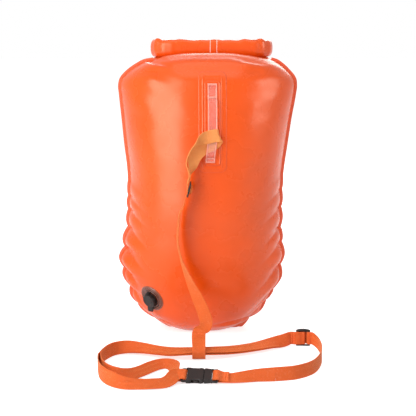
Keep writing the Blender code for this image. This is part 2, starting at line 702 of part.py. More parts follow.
def build_clear_strap():
    """Clear strap with beaded edges, welded at both ends and standing off between them."""
    spot = (patch_side_share(), PATCH_MIDDLE_SHARE)
    half = CLEAR_STRAP_LENGTH / 2
    top = half - CLEAR_STRAP_TOP_WELD
    low = half - CLEAR_STRAP_LOW_WELD
    bend = CLEAR_STRAP_BEND
    ups = np.array([-half, -low, bend / 2 - low, bend - low, top - bend, top - bend / 2, top, half])
    sides, shares = lay_on_panel(spot, np.zeros(len(ups)), ups, FRONT_PROFILE_SHARES, -1)
    surface = panel_points(sides, shares, FRONT_PROFILE_SHARES, -1)
    normals = panel_normals(sides, shares, FRONT_PROFILE_SHARES, -1)
    seat = base_sheet_lift() + PATCH_WALL + CLEARANCE + CLEAR_STRAP_BEAD / 2
    frame = strap_frame()
    welds = surface + normals * seat
    top_out = (frame.inverted() @ Vector(welds[-2]))[2]
    low_out = (frame.inverted() @ Vector(welds[1]))[2]
    lifted = local_line(frame, [
        (0, ups[2], (low_out + CLEAR_STRAP_LIFT) / 2), (0, ups[3], CLEAR_STRAP_LIFT),
        (0, ups[4], CLEAR_STRAP_LIFT), (0, ups[5], (top_out + CLEAR_STRAP_LIFT) / 2)])
    centres = np.concatenate([welds[:2], lifted, welds[-2:]])
    across = np.tile(np.array(frame.col[0][:3]), (len(centres), 1))
    edge = CLEAR_STRAP_WIDTH / 2
    bead = CLEAR_STRAP_BEAD / 2
    wall = CLEAR_STRAP_WALL / 2
    section = ((-edge, -bead), (bead - edge, -bead), (2 * bead - edge, -wall), (edge - 2 * bead, -wall),
               (edge - bead, -bead), (edge, -bead), (edge, bead), (edge - bead, bead),
               (edge - 2 * bead, wall), (2 * bead - edge, wall), (bead - edge, bead), (-edge, bead))
    return sweep("clear_strap", centres, across, section, CLEAR_PVC, 0.1, alpha=0.5)


# Rolled mouth

def roll_path():
    """Stations along the roll: place, heading, and whether the tail hangs into the slot there.

    The roll is straight in front, then both ends turn back in half circles.
    """
    turn = np.linspace(0, math.pi, ROLL_BEND_STEPS + 1)
    right = ROLL_STRAIGHT_HALF + ROLL_BEND_RADIUS * np.sin(turn)
    back = ROLL_BEND_RADIUS * (1 - np.cos(turn))
    half = [(ROLL_STRAIGHT_HALF / 2, 0, 0, 1)]
    half += [(ROLL_STRAIGHT_HALF - 2 * ROLL_TAIL_BELOW, 0, 0, 1)]
    half += [(right[index], back[index], turn[index], 0) for index in range(len(turn))]
    rows = [(-r, b, -angle, tail) for r, b, angle, tail in reversed(half)] + half
    return np.array(rows)


def roll_section(hang):
    """Section of the wound mouth sheet, as out and up places from the core, wound outwards."""
    middle = ROLL_HEIGHT / 2 - ROLL_SHEET_WALL / 2
    count = int(ROLL_TURNS * ROLL_POINTS_PER_TURN)
    angle = np.arange(count + 1) * 2 * math.pi / ROLL_POINTS_PER_TURN
    angle = angle - angle[-1] + 3 * math.pi / 2
    growth = ROLL_PITCH * (np.arange(count + 1) / ROLL_POINTS_PER_TURN - ROLL_TURNS)
    outer_half_wall = ROLL_CORE_HALF_WALL + ROLL_PITCH * ROLL_TURNS
    out = (outer_half_wall + growth) * np.cos(angle)
    up = (middle + growth) * np.sin(angle)
    line = list(zip(out, up))
    line += [(0, -middle - ROLL_TAIL_BELOW), (0, -middle - hang)]
    line = np.array(line)
    along = unit(np.gradient(line, axis=0))
    side = np.stack([-along[:, 1], along[:, 0]], axis=-1) * ROLL_SHEET_WALL / 2
    return np.concatenate([line + side, (line - side)[::-1]])


def roll_station(row):
    """Place and out direction of a station of the roll."""
    right, back, angle, _ = row
    place = np.array([right + BAG_LEAN, back, BAG_HEIGHT + ROLL_RISE - ROLL_HEIGHT / 2])
    out = np.array([-math.sin(-angle), -math.cos(angle), 0])
    return place, out


def build_roll():
    """The mouth of the bag, wound up and bent round to the back."""
    slot = FRONT_PROFILE_SHARES[-1][2] * BAG_HEIGHT
    bottom = BAG_HEIGHT + ROLL_RISE - ROLL_HEIGHT + ROLL_SHEET_WALL / 2
    long_hang = bottom - slot - CLEARANCE
    short_hang = 2 * ROLL_TAIL_BELOW
    rings = []
    for row in roll_path():
        section = roll_section(long_hang if row[3] else short_hang)
        place, out = roll_station(row)
        rings.append(place + section[:, :1] * out + section[:, 1:] * np.array((0, 0, 1)))
    rings = np.array(rings)
    count, size = rings.shape[:2]
    faces = []
    for ring in range(count - 1):
        for corner in range(size):
            following = (corner + 1) % size
            faces.append((ring * size + corner, ring * size + following,
                          (ring + 1) * size + following, (ring + 1) * size + corner))
    half = size // 2
    for start in (0, (count - 1) * size):
        for corner in range(half - 1):
            faces.append((start + corner, start + corner + 1,
                          start + size - 2 - corner, start + size - 1 - corner))
    return add_mesh_object("rolled_neck", rings.reshape(-1, 3), faces, NECK_ORANGE, 0.35)


def build_stiffener():
    """Stiff strip in the core of the roll."""
    rows = roll_path()
    centres = np.array([roll_station(row)[0] for row in rows])
    across = np.tile((0.0, 0.0, 1.0), (len(rows), 1))
    section = flat_section(STIFFENER_HEIGHT, STIFFENER_WALL)
    return sweep("mouth_stiffener", centres, across, section, LINER_GREY, 0.5)


def roll_buckle_frame():
    """Frame of the buckle behind the roll: its plug points to the left as seen from the front."""
    place = (BAG_LEAN, 2 * ROLL_BEND_RADIUS, BAG_HEIGHT + ROLL_RISE - ROLL_HEIGHT / 2)
    return frame_of(place, (1, 0, 0), (0, 0, -1), (0, 1, 0))


def build_roll_tab(name, side):
    """Webbing tab from one end of the stiffener to its half of the buckle, sewn round its bar."""
    frame = roll_buckle_frame()
    wrap = bar_wrap(side)
    start = side * (ROLL_STRAIGHT_HALF - CLEARANCE)
    near = side * (bar_middle() + BUCKLE_BAR + BUCKLE_BAR_WALL)
    entry = side * (bar_middle() + 2 * BUCKLE_BAR + 2 * BUCKLE_BAR_WALL)
    points = [(start, 0, 0), (entry, 0, 0), (near, 0, -wrap_offset() / 2)] + wrap
    points += [(near, 0, wrap_offset())]
    centres = local_line(frame, points)
    across = np.tile(np.array(frame.col[1][:3]), (len(centres), 1))
    section = flat_section(WEBBING_WIDTH * TAB_WIDTH_SHARE, WEBBING_WALL)
    return sweep(name, centres, across, section, WEBBING_ORANGE, 0.8)


# Moulded hardware

def build_slider(name, frame):
    """Three-bar slider: a flat frame with two slots, softened at its corners."""
    half = SLIDER_LENGTH / 2
    side = SLIDER_WIDTH / 2
    slider = finish_shape(name, slab_shape(box_outline(-half, half, -side, side), SLIDER_WALL), frame,
                          BLACK_PLASTIC, 0.4)
    inner = side - SLIDER_BAR * SLIDER_RAIL_SHARE
    for start, end in ((SLIDER_BAR - half, -SLIDER_BAR / 2), (SLIDER_BAR / 2, half - SLIDER_BAR)):
        cutter = add_cutter(name + "_slot", box_outline(start, end, -inner, inner),
                            SLIDER_WALL + CUT_OVERRUN, frame)
        add_boolean(slider, cutter, "DIFFERENCE")
    add_bevel(slider, SLIDER_EDGE)
    return slider


def slider_sewn_line():
    """Line of the sewn webbing end round a slider's middle bar, from its tip outwards to the left."""
    over = SLIDER_WALL / 2 + CLEARANCE + WEBBING_WALL / 2 + CLEARANCE / 2
    beside = SLIDER_BAR / 2 + CLEARANCE + WEBBING_WALL / 2 + CLEARANCE
    under = over + LAYER_PITCH
    left = SLIDER_LENGTH / 2
    bend = beside * SEWN_BEND_SHARE
    return [(-beside, 0, -over / 3), (-beside, 0, over / 3), (-bend, 0, over),
            (bend, 0, over), (beside, 0, over / 3), (beside, 0, -over / 3),
            (bend, 0, -over), (-bend, 0, -over - CLEARANCE),
            (-left + SLIDER_BAR, 0, -under), (-SLIDER_STRAIGHT, 0, -under)]


def slider_running_line(straight_right=SLIDER_STRAIGHT):
    """Line of the webbing that runs through a slider, from its left to its right."""
    under = SLIDER_WALL / 2 + CLEARANCE + WEBBING_WALL / 2 + CLEARANCE / 2
    over = under + LAYER_PITCH
    slot = SLIDER_LENGTH / 4 + SLIDER_BAR / 4
    rise, enter, leave, level = (slot * share for share in RUNNING_BEND_SHARES)
    half = [(0, 0, over), (rise, 0, over - CLEARANCE), (enter, 0, under / 2),
            (leave, 0, -under / 2), (level, 0, -under)]
    left = [(-SLIDER_STRAIGHT, 0, -under)] + [(-along, side, out) for along, side, out in half[:0:-1]]
    return left + half + [(straight_right, 0, -under)]


def bar_middle():
    """Distance of a buckle's webbing bar from the joint line of its two halves."""
    return BUCKLE_BODY_LENGTH + BUCKLE_WEB_END - BUCKLE_BAR / 2 - BUCKLE_NOSE


def wrap_offset():
    """Distance from a buckle's plane to webbing that lies on its bar."""
    return BUCKLE_BAR_WALL / 2 + CLEARANCE + WEBBING_WALL / 2 + CLEARANCE / 2


def bar_wrap(side):
    """Line of webbing round a buckle's bar, from its outer face through the slot to its inner."""
    offset = wrap_offset()
    bar = bar_middle()
    slot = bar - BUCKLE_BAR / 2 - WEBBING_WALL / 2 - 4 * CLEARANCE
    bend = bar - BUCKLE_BAR * BAR_BEND_SHARE
    return [(side * (bar + BUCKLE_BAR / 2), 0, -offset), (side * bend, 0, -offset),
            (side * slot, 0, -offset / 2), (side * slot, 0, offset / 2),
            (side * bend, 0, offset), (side * (bar + BUCKLE_BAR / 2), 0, offset)]


def web_end_cut(name, thing, side, frame):
    """Cut the webbing slot of a buckle half."""
    bar = bar_middle() - BUCKLE_BAR / 2
    inner = BUCKLE_WIDTH / 2 - BUCKLE_SIDE
    low, high = sorted((side * bar, side * (bar - BUCKLE_SLOT)))
    cutter = add_cutter(name + "_slot", box_outline(low, high, -inner, inner),
                        BUCKLE_WALL + CUT_OVERRUN, frame)
    add_boolean(thing, cutter, "DIFFERENCE")


def thin_web_end(name, thing, side, frame):
    """Bring the webbing end of a buckle half down to the thickness of its bar."""
    bar = bar_middle()
    start = bar - BUCKLE_BAR / 2 - BUCKLE_SLOT * THIN_START_SHARE
    end = bar + BUCKLE_BAR
    low, high = sorted((side * start, side * end))
    reach = BUCKLE_WIDTH / 2 + CUT_OVERRUN
    for out in (-1, 1):
        middle = out * (BUCKLE_BAR_WALL / 2 + BUCKLE_WALL / 2)
        place = frame @ Matrix.Translation((0, 0, middle))
        cutter = add_cutter(name + "_thin", box_outline(low, high, -reach, reach), BUCKLE_WALL, place)
        add_boolean(thing, cutter, "DIFFERENCE")


def buckle_outline(mouth, end, table):
    """Outline of a buckle half, the same on both sides of its middle line."""
    half = [(mouth + (end - mouth) * along, BUCKLE_WIDTH / 2 * across) for along, across in table]
    return half + [(along, -side) for along, side in reversed(half)]


def bar_end():
    """Distance of a buckle half's webbing end from the joint line."""
    return bar_middle() + BUCKLE_BAR / 2


def build_buckle_female(name, frame):
    """Receiving half: a flat hollow body with side windows and a webbing bar at its left end."""
    outline = buckle_outline(BUCKLE_NOSE, -bar_end(), BUCKLE_BODY_SHARES)
    body = finish_shape(name, slab_shape(outline, BUCKLE_WALL), frame, BLACK_PLASTIC, 0.4)
    add_bevel(body, BUCKLE_EDGE)
    mouth = BUCKLE_NOSE
    inner = BUCKLE_WIDTH / 2 - BUCKLE_SIDE
    hollow = add_cutter(name + "_hollow", box_outline(mouth - BUCKLE_BODY_LENGTH + BUCKLE_SIDE,
                                                      mouth + CUT_OVERRUN, -inner, inner),
                        BUCKLE_HOLLOW_WALL, frame)
    add_boolean(body, hollow, "DIFFERENCE")
    window_end = mouth - BUCKLE_ARM_REACH + BUCKLE_WINDOW + BUCKLE_HEAD_STEP + CLEARANCE
    window_start = mouth - BUCKLE_ARM_REACH - CLEARANCE * 2
    for side in (-1, 1):
        low, high = sorted((side * (inner - BUCKLE_SIDE), side * (BUCKLE_WIDTH / 2 + CUT_OVERRUN)))
        window = add_cutter(name + "_window", box_outline(window_start, window_end, low, high),
                            BUCKLE_HOLLOW_WALL + CLEARANCE, frame)
        add_boolean(body, window, "DIFFERENCE")
    web_end_cut(name, body, -1, frame)
    thin_web_end(name, body, -1, frame)
    return body


def buckle_plug_outline():
    """Outline of the plug's flat core: base, two spring arms with latch heads and a middle guide."""
    start = BUCKLE_NOSE + CLEARANCE
    tip = BUCKLE_NOSE - BUCKLE_ARM_REACH
    inner = BUCKLE_WIDTH / 2 - BUCKLE_SIDE - CLEARANCE
    arm = inner - BUCKLE_ARM
    head = BUCKLE_NOSE - BUCKLE_ARM_REACH + BUCKLE_WINDOW
    latch = inner + BUCKLE_HEAD_STEP
    guide = BUCKLE_GUIDE / 2
    base = start + BUCKLE_NOSE / 2
    point = tip + BUCKLE_ARM * GUIDE_TIP_SHARE
    half = [(base, inner), (start, inner - CLEARANCE), (head + BUCKLE_HEAD_STEP, inner - CLEARANCE),
            (head, latch), (head - BUCKLE_WINDOW * LATCH_SHARE, latch),
            (tip, inner - BUCKLE_ARM * ARM_TIP_SHARE), (tip, arm - BUCKLE_ARM * ARM_TIP_SHARE),
            (head, arm - CLEARANCE), (start, arm), (start, guide * GUIDE_ROOT_SHARE),
            (tip + BUCKLE_ARM, guide), (point, guide * GUIDE_TIP_SHARE)]
    return half + [(along, -side) for along, side in reversed(half)]


def build_buckle_male(name, frame, origin):
    """Plug half: a base with a webbing bar, a middle guide and two spring arms."""
    outline = buckle_outline(BUCKLE_NOSE + CLEARANCE, bar_end(), BUCKLE_BASE_SHARES)
    base = finish_shape(name, slab_shape(outline, BUCKLE_WALL), frame, BLACK_PLASTIC, 0.4)
    add_bevel(base, BUCKLE_EDGE)
    core = add_cutter(name + "_arms", buckle_plug_outline(), BUCKLE_ARM_WALL, frame)
    add_boolean(base, core, "UNION")
    web_end_cut(name, base, 1, frame)
    thin_web_end(name, base, 1, frame)
    apply_modifiers(base)
    base.data.transform(Matrix.Translation(Vector(origin)).inverted() @ base.matrix_world)
    base.matrix_world = Matrix.Translation(Vector(origin))
    return base


# Leash

def leash_slider_frame():
    """Frame of the leash slider: along the webbing downwards, side towards the bag, face right."""
    tilt = math.radians(LEASH_SLIDER_TILT)
    along = Vector((-math.sin(tilt), 0, -math.cos(tilt)))
    side = Vector((0, 1, 0))
    return frame_of(LEASH_SLIDER_PLACE, along, side, along.cross(side))


def leash_turn():
    """Places and across directions where the leash turns round the strap's right edge.

    A flat strap that turns back at a slope bends round an axis that leans by half of that slope,
    and drifts along the axis as it goes round.
    """
    radius = (LEASH_FRONT_OUT - LEASH_BACK_OUT) / 2
    lean = math.radians(LEASH_TURN_SLOPE) / 2
    axis = np.array([-math.sin(lean), math.cos(lean), 0])
    level = np.array([math.cos(lean), math.sin(lean), 0])
    out = np.array([0, 0, 1])
    angle = np.linspace(0, math.pi, LEASH_TURN_STEPS + 1)[:, None]
    start = np.array([LEASH_TURN_RIGHT, LEASH_TURN_UP, LEASH_FRONT_OUT])
    heading = level * np.cos(angle) - out * np.sin(angle)
    drift = math.tan(lean) * radius * angle
    places = start + radius * np.sin(angle) * level - radius * (1 - np.cos(angle)) * out - drift * axis
    return places, math.cos(lean) * axis + math.sin(lean) * heading


def build_leash_loop():
    """Looped end of the leash: sewn on the slider, up, round the clear strap and down through it."""
    strap = strap_frame()
    slider = leash_slider_frame()
    side = -np.array(slider.col[1][:3])
    sewn = local_line(slider, slider_sewn_line())
    running = local_line(slider, slider_running_line())
    basis = np.array(strap.to_3x3())

    def spread(route, shares):
        return local_line(strap, route), np.array(shares) @ basis.T

    front, front_across = spread(LEASH_FRONT_ROUTE, LEASH_FRONT_ACROSS_SHARES)
    turn, turn_across = spread(*leash_turn())
    behind, behind_across = spread(LEASH_RETURN_ROUTE, LEASH_RETURN_ACROSS_SHARES)
    up_again = smooth_route(np.concatenate([
        [np.append(sewn[-1], side)], np.column_stack([front, front_across])[::-1],
        [np.append(turn[0], turn_across[0])]]), LOOP_STEPS)
    down_again = smooth_route(np.concatenate([
        [np.append(turn[-1], turn_across[-1])], np.column_stack([behind, behind_across]),
        [np.append(running[0], side)]]), LOOP_STEPS)
    bend = np.column_stack([turn, turn_across])
    steps = np.concatenate([up_again, bend[1:-1], down_again])
    centres = np.concatenate([sewn[:-1], steps[:, :3], running[1:]])
    across = np.concatenate([np.tile(side, (len(sewn) - 1, 1)), steps[:, 3:],
                             np.tile(side, (len(running) - 1, 1))])
    origin = tuple(strap.translation)
    return sweep("leash_loop", centres, across, flat_section(WEBBING_WIDTH, WEBBING_WALL),
                 WEBBING_ORANGE, 0.8, origin)


def turned_across(degrees):
    """Across directions of a ribbon that runs roughly down, turned from the right towards the viewer."""
    angle = np.radians(degrees)
    return np.stack([np.cos(angle), -np.sin(angle), np.zeros_like(angle)], axis=-1)


def leash_hinge():
    """Place where the leash swings, just under its slider."""
    return local_line(leash_slider_frame(), slider_running_line()[-1:])[0]


def tail_line():
    """Line of the tail loop: down its front, round under the belt, up behind and on to its sewn end."""
    centre = np.array([TAIL_FRONT, TAIL_RISE])
    apex = centre + np.array([TAIL_APEX_BACK, TAIL_APEX_UP])
    reach = np.linalg.norm(apex - centre)
    facing = math.atan2(TAIL_APEX_UP, TAIL_APEX_BACK)
    half_open = math.acos(TAIL_RADIUS / reach)
    angles = np.linspace(facing + half_open, facing - half_open + 2 * math.pi, TAIL_ARC_STEPS)
    arc = centre + TAIL_RADIUS * np.stack([np.cos(angles), np.sin(angles)], axis=-1)
    inward = unit(centre - apex)
    end = apex + inward * LAYER_PITCH * TAIL_END_SHARE
    slope = unit(np.array([LEASH_ROUTE[-1][1], LEASH_ROUTE[-1][2]]) - apex)
    sewn = end + slope * TAIL_SEWN
    flat = np.concatenate([[apex], arc, [end], [sewn]])
    return np.column_stack([np.full(len(flat), TAIL_RIGHT), flat])


def build_leash_strap():
    """Leash webbing from under the slider down to its tail loop on the floor."""
    hinge = leash_hinge()
    route = smooth_route(LEASH_ROUTE)
    down = np.array(leash_slider_frame().col[0][:3])
    start = np.array([hinge + down * CLEARANCE, hinge + down * LEASH_STRAIGHT])
    tail = tail_line()
    centres = np.concatenate([start, route[:, :3], tail])
    across = np.concatenate([turned_across([LEASH_ROUTE[0][3]] * 2), turned_across(route[:, 3]),
                             np.tile((1.0, 0.0, 0.0), (len(tail), 1))])
    return sweep("leash_strap", centres, across, flat_section(WEBBING_WIDTH, WEBBING_WALL),
                 WEBBING_ORANGE, 0.8, hinge)


# Belt

def belt_slider_frame():
    """Frame of the belt slider: along the belt to the right, side down, face away from the hoop."""
    yaw = math.radians(BELT_SLIDER_YAW)
    along = Vector((math.cos(yaw), math.sin(yaw), 0))
    face = Vector((-math.sin(yaw), math.cos(yaw), 0))
    return frame_of(BELT_SLIDER_PLACE, along, face.cross(along), face)


def belt_buckle_frame():
    """Frame of the belt buckle: along the belt to the right, face towards the hoop and down."""
    yaw = math.radians(BELT_BUCKLE_YAW)
    lean = math.radians(BELT_BUCKLE_LEAN)
    along = Vector((math.cos(yaw), math.sin(yaw), 0))
    level = Vector((-math.sin(yaw), math.cos(yaw), 0))
    face = level * math.cos(lean) - Vector((0, 0, math.sin(lean)))
    return frame_of(BELT_BUCKLE_PLACE, along, face.cross(along), face)


def belt_across(route):
    """Across directions of the belt: upright, turned about its own run by the route's angle."""
    tangents = unit(np.gradient(route[:, :3], axis=0))
    level = unit(tangents * np.array([1, 1, 0]))
    inward = np.stack([-level[:, 1], level[:, 0], np.zeros(len(level))], axis=-1)
    angle = np.radians(route[:, 3])[:, None]
    return np.cos(angle) * np.array([0, 0, 1]) - np.sin(angle) * inward


def belt_rows(points, side=(0, 0, 1)):
    """Rows of place and across direction for points with one across direction."""
    points = np.asarray(points, dtype=float)
    return np.column_stack([points, np.tile(np.asarray(side, dtype=float), (len(points), 1))])


def with_across(route):
    """Rows of place and across direction of a belt route with angles."""
    route = np.array(route, dtype=float)
    return np.column_stack([route[:, :3], belt_across(route)])


def build_belt_webbing():
    """The belt as one webbing: sewn on the slider, round to the buckle, back and on to the plug."""
    slider = belt_slider_frame()
    buckle = belt_buckle_frame()
    sewn = belt_rows(local_line(slider, slider_sewn_line()))
    running = belt_rows(local_line(slider, slider_running_line(BELT_STRAIGHT_RIGHT)))
    upward = -np.array(buckle.col[1][:3])
    leaving = bar_end() + SEWN_LENGTH / 4
    ends = [(-leaving, 0, side * wrap_offset()) for side in (-1, 1)]
    around = belt_rows(local_line(buckle, ends[:1] + bar_wrap(-1) + ends[1:]), upward)
    outer = with_across(smooth_route(np.concatenate([
        np.column_stack([running[:1, :3], [[0.0]]]), np.array(BELT_REAR_ROUTE)])))
    outer[0, 3:] = (0, 0, 1)
    left_end = np.concatenate([BELT_REAR_ROUTE[-1:], BELT_FRONT_LEFT_ROUTE])
    front = smooth_route(np.concatenate([outer[-1:], with_across(left_end)[1:], around[:1]]))
    tangents = unit(np.gradient(outer[:, :3], axis=0))
    inward = unit(np.cross(outer[:, 3:], tangents))
    inner = outer[:-1].copy()
    inner[:, :3] += inward[:-1] * LAYER_PITCH
    back = smooth_route(np.concatenate([around[-1:], with_across(BELT_RETURN_ROUTE), inner[-1:]]))
    right = smooth_route(np.concatenate([running[-1:], with_across(BELT_RIGHT_ROUTE)]))
    plug = local_line(buckle, bar_wrap(1)[::-1])
    reach = bar_end() + SEWN_LENGTH
    over = wrap_offset() - LAYER_PITCH - CLEARANCE
    tip = local_line(buckle, [(reach, 0, over)])
    near = local_line(buckle, [(bar_middle() + BUCKLE_BAR * SEWN_START_SHARE, 0, over)])
    straight = local_line(buckle, [(leaving + SEWN_LENGTH, 0, wrap_offset())])
    last = smooth_route(np.concatenate([right[-1:], belt_rows(straight, upward)]), LOOP_STEPS)
    ending = belt_rows(np.concatenate([plug, near, tip]), upward)
    rows = np.concatenate([sewn[:-1], inner, back[1:-1][::-1], around[::-1], front[1:-1][::-1],
                           outer[1:][::-1], running, right[1:], last[1:], ending])
    place = tuple(belt_hinge())
    return sweep("belt_webbing", rows[:, :3], rows[:, 3:], flat_section(WEBBING_WIDTH, WEBBING_WALL),
                 WEBBING_ORANGE, 0.8, place)


def belt_hinge():
    """Place where the belt turns in the tail loop."""
    return np.array([TAIL_RIGHT, TAIL_FRONT, TAIL_RISE])


def build_belt_hardware():
    """Slider and buckle of the belt."""
    build_slider("belt_slider", belt_slider_frame())
    build_buckle_female("belt_buckle_female", belt_buckle_frame())
    build_buckle_male("belt_buckle_male", belt_buckle_frame(), belt_buckle_frame().translation)


# Valves

def valve_frame(profile, facing):
    """Frame of a valve: right, up and out at its place on a panel."""
    point, right, upward, normal = panel_spot(VALVE_SIDE_SHARE, VALVE_HEIGHT_SHARE, profile, facing)
    return frame_of(point, right, upward, normal)


def build_valve_flange(name, profile, facing):
    """Flexible flange that follows the bag, with a concentric ridge."""
    hole = COLLAR_RADIUS + CLEARANCE
    ridge_in = FLANGE_RIDGE_RADIUS - FLANGE_RIDGE_WIDTH / 2
    ridge_out = FLANGE_RIDGE_RADIUS + FLANGE_RIDGE_WIDTH / 2
    top = CLEARANCE + FLANGE_WALL
    levels = [(hole, CLEARANCE), (hole, top), (ridge_in, top),
              (FLANGE_RIDGE_RADIUS, top + FLANGE_RIDGE), (ridge_out, top),
              (FLANGE_RADIUS, top), (FLANGE_RADIUS, CLEARANCE), (ridge_out, CLEARANCE)]
    angle = np.linspace(0, 2 * math.pi, VALVE_SEGMENTS, endpoint=False)
    rings = []
    for radius, lift in levels:
        sides, shares = lay_on_panel((VALVE_SIDE_SHARE, VALVE_HEIGHT_SHARE), radius * np.cos(angle),
                                     radius * np.sin(angle), profile, facing)
        surface = panel_points(sides, shares, profile, facing)
        rings.append(surface + panel_normals(sides, shares, profile, facing) * lift)
    return ring_shell(name, rings, SMOKED_PVC, 0.25, alpha=0.8)


def build_valve_collar(name, frame):
    """Tube of the valve, with two inner lips that hold the check disc."""
    lip = COLLAR_BORE - COLLAR_LIP
    low = -COLLAR_BELOW
    floor = low + COLLAR_LIP_WALL
    seat = floor + CHECK_ROOM
    profile = [(COLLAR_RADIUS, COLLAR_ABOVE), (COLLAR_RADIUS, low), (lip, low), (lip, floor),
               (COLLAR_BORE, floor), (COLLAR_BORE, seat), (lip, seat), (lip, seat + COLLAR_LIP_WALL),
               (COLLAR_BORE, seat + COLLAR_LIP_WALL), (COLLAR_BORE, COLLAR_ABOVE)]
    return turned(name, profile, frame, BLACK_PLASTIC, 0.4)


def build_valve_diaphragm(name, frame):
    """Check disc that seats under the upper lip."""
    seat = COLLAR_LIP_WALL + CHECK_ROOM - COLLAR_BELOW - CLEARANCE
    radius = COLLAR_BORE - CLEARANCE
    place = frame @ Vector((0, 0, seat))
    shape = bmesh.new()
    bmesh.ops.create_cone(shape, cap_ends=True, segments=VALVE_SEGMENTS, radius1=radius, radius2=radius,
                          depth=CHECK_WALL, matrix=Matrix.Translation((0, 0, seat - CHECK_WALL / 2)))
    return finish_shape(name, shape, frame, BLACK_PLASTIC, 0.6, place)


def valve_hinge_local():
    """Place of the cap's hinge in the valve's frame."""
    lug_top = RETAINER_RISE + RETAINER_WALL + 3 * CLEARANCE
    return Vector((0, COLLAR_RADIUS + RETAINER_BAND + HINGE_LUG_REACH / 2, lug_top))


def build_valve_retainer(name, frame):
    """Ring round the collar, with the lug that the cap's strap hangs on."""
    inner = COLLAR_RADIUS + CLEARANCE
    outer = COLLAR_RADIUS + RETAINER_BAND
    low = RETAINER_RISE
    high = RETAINER_RISE + RETAINER_WALL
    ring = turned(name, [(inner, high), (inner, low), (outer, low), (outer, high)], frame,
                  BLACK_PLASTIC, 0.45)
    half = HINGE_LUG_WIDTH / 2
    place = frame @ Matrix.Translation((0, 0, (low + high) / 2 + CLEARANCE / 2))
    outline = box_outline(-half, half, outer - CLEARANCE * 2, outer + HINGE_LUG_REACH)
    lug = add_cutter(name + "_lug", outline, high - low + CLEARANCE, place)
    add_boolean(ring, lug, "UNION")
    return ring


def build_valve_cap(name, frame):
    """Cap over the collar, with a pull tab below and a hinge ear above."""
    inner = COLLAR_RADIUS + CAP_GAP
    outer = inner + CAP_WALL
    low = RETAINER_RISE + RETAINER_WALL + 2 * CLEARANCE
    ceiling = COLLAR_ABOVE + CLEARANCE
    crown = ceiling + CAP_CROWN
    profile = [(0, ceiling), (inner, ceiling), (inner, low), (outer, low), (outer, crown - CAP_WALL / 2),
               (outer - CAP_WALL / 2, crown), (0, crown)]
    hinge = frame @ valve_hinge_local()
    shape = bmesh.new()
    corners = [shape.verts.new((radius, 0, height)) for radius, height in profile]
    edges = [shape.edges.new((corners[index], corners[index + 1])) for index in range(len(corners) - 1)]
    bmesh.ops.spin(shape, geom=corners + edges, cent=(0, 0, 0), axis=(0, 0, 1),
                   angle=2 * math.pi, steps=VALVE_SEGMENTS, use_merge=True)
    bmesh.ops.remove_doubles(shape, verts=shape.verts, dist=CLEARANCE / 10)
    cap = finish_shape(name, shape, frame, BLACK_PLASTIC, 0.4, hinge)
    half_tab = CAP_TAB_WIDTH / 2
    tab_place = frame @ Matrix.Translation((0, 0, low + CAP_TAB_WALL))
    tab_outline = box_outline(-half_tab, half_tab, -outer - CAP_TAB_REACH, CLEARANCE - outer)
    tab = add_cutter(name + "_tab", tab_outline, CAP_TAB_WALL, tab_place)
    add_boolean(cap, tab, "UNION")
    half_ear = HINGE_LUG_WIDTH / 2
    ear_low = valve_hinge_local()[2] + CLEARANCE
    ear_place = frame @ Matrix.Translation((0, 0, ear_low + CAP_TAB_WALL / 2))
    ear_outline = box_outline(-half_ear, half_ear, outer - CLEARANCE, valve_hinge_local()[1])
    ear = add_cutter(name + "_ear", ear_outline, CAP_TAB_WALL, ear_place)
    add_boolean(cap, ear, "UNION")
    return cap


def cut_valve_hole(panel, frame):
    """Open the panel under a valve, for its collar."""
    shape = bmesh.new()
    radius = COLLAR_RADIUS + CLEARANCE * 2
    bmesh.ops.create_cone(shape, cap_ends=True, segments=VALVE_SEGMENTS, radius1=radius, radius2=radius,
                          depth=2 * (COLLAR_ABOVE + COLLAR_BELOW))
    cutter = finish_shape(panel.name + "_hole", shape, frame, BLACK_PLASTIC, 0.5)
    cutter.hide_render = True
    cutter.display_type = "WIRE"
    add_boolean(panel, cutter, "DIFFERENCE")


def build_valve(prefix, panel, profile, facing):
    """All the pieces of one valve."""
    frame = valve_frame(profile, facing)
    cut_valve_hole(panel, frame)
    build_valve_flange(prefix + "_valve_flange", profile, facing)
    build_valve_collar(prefix + "_valve_collar", frame)
    build_valve_diaphragm(prefix + "_valve_diaphragm", frame)
    build_valve_retainer(prefix + "_valve_retainer", frame)
    build_valve_cap(prefix + "_valve_cap", frame)


def main():
    """Build the whole buoy."""
    clear_scene()
    front = build_panel("front_panel", FRONT_PROFILE_SHARES, -1)
    back = build_panel("back_panel", BACK_PROFILE_SHARES, 1)
    build_liner("front_liner", -1)
    build_liner("back_liner", 1)
    build_valve("front", front, FRONT_PROFILE_SHARES, -1)
    build_valve("rear", back, BACK_PROFILE_SHARES, 1)
    build_roll()
    build_stiffener()
    build_roll_tab("roll_tab_left", -1)
    build_roll_tab("roll_tab_right", 1)
    build_buckle_female("roll_buckle_female", roll_buckle_frame())
    build_buckle_male("roll_buckle_male", roll_buckle_frame(), roll_buckle_frame().translation)
    build_patches()
    build_clear_strap()
    build_leash_loop()
    build_slider("leash_slider", leash_slider_frame())
    build_leash_strap()
    build_belt_webbing()
    build_belt_hardware()


main()
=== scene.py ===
"""Looks of an open water swim buoy: the inflated bag, its rolled mouth, leash and waist belt.

Metres, +Z up, the viewer looks along +Y. Every new piece is a surface worked out with numpy on a
grid, or a section carried along a path, and stands in the place of the plain solid it is named after.
"""
import logging
import math
from dataclasses import dataclass
from enum import Enum

import bmesh
import bpy
import numpy as np
from mathutils import Matrix, Vector


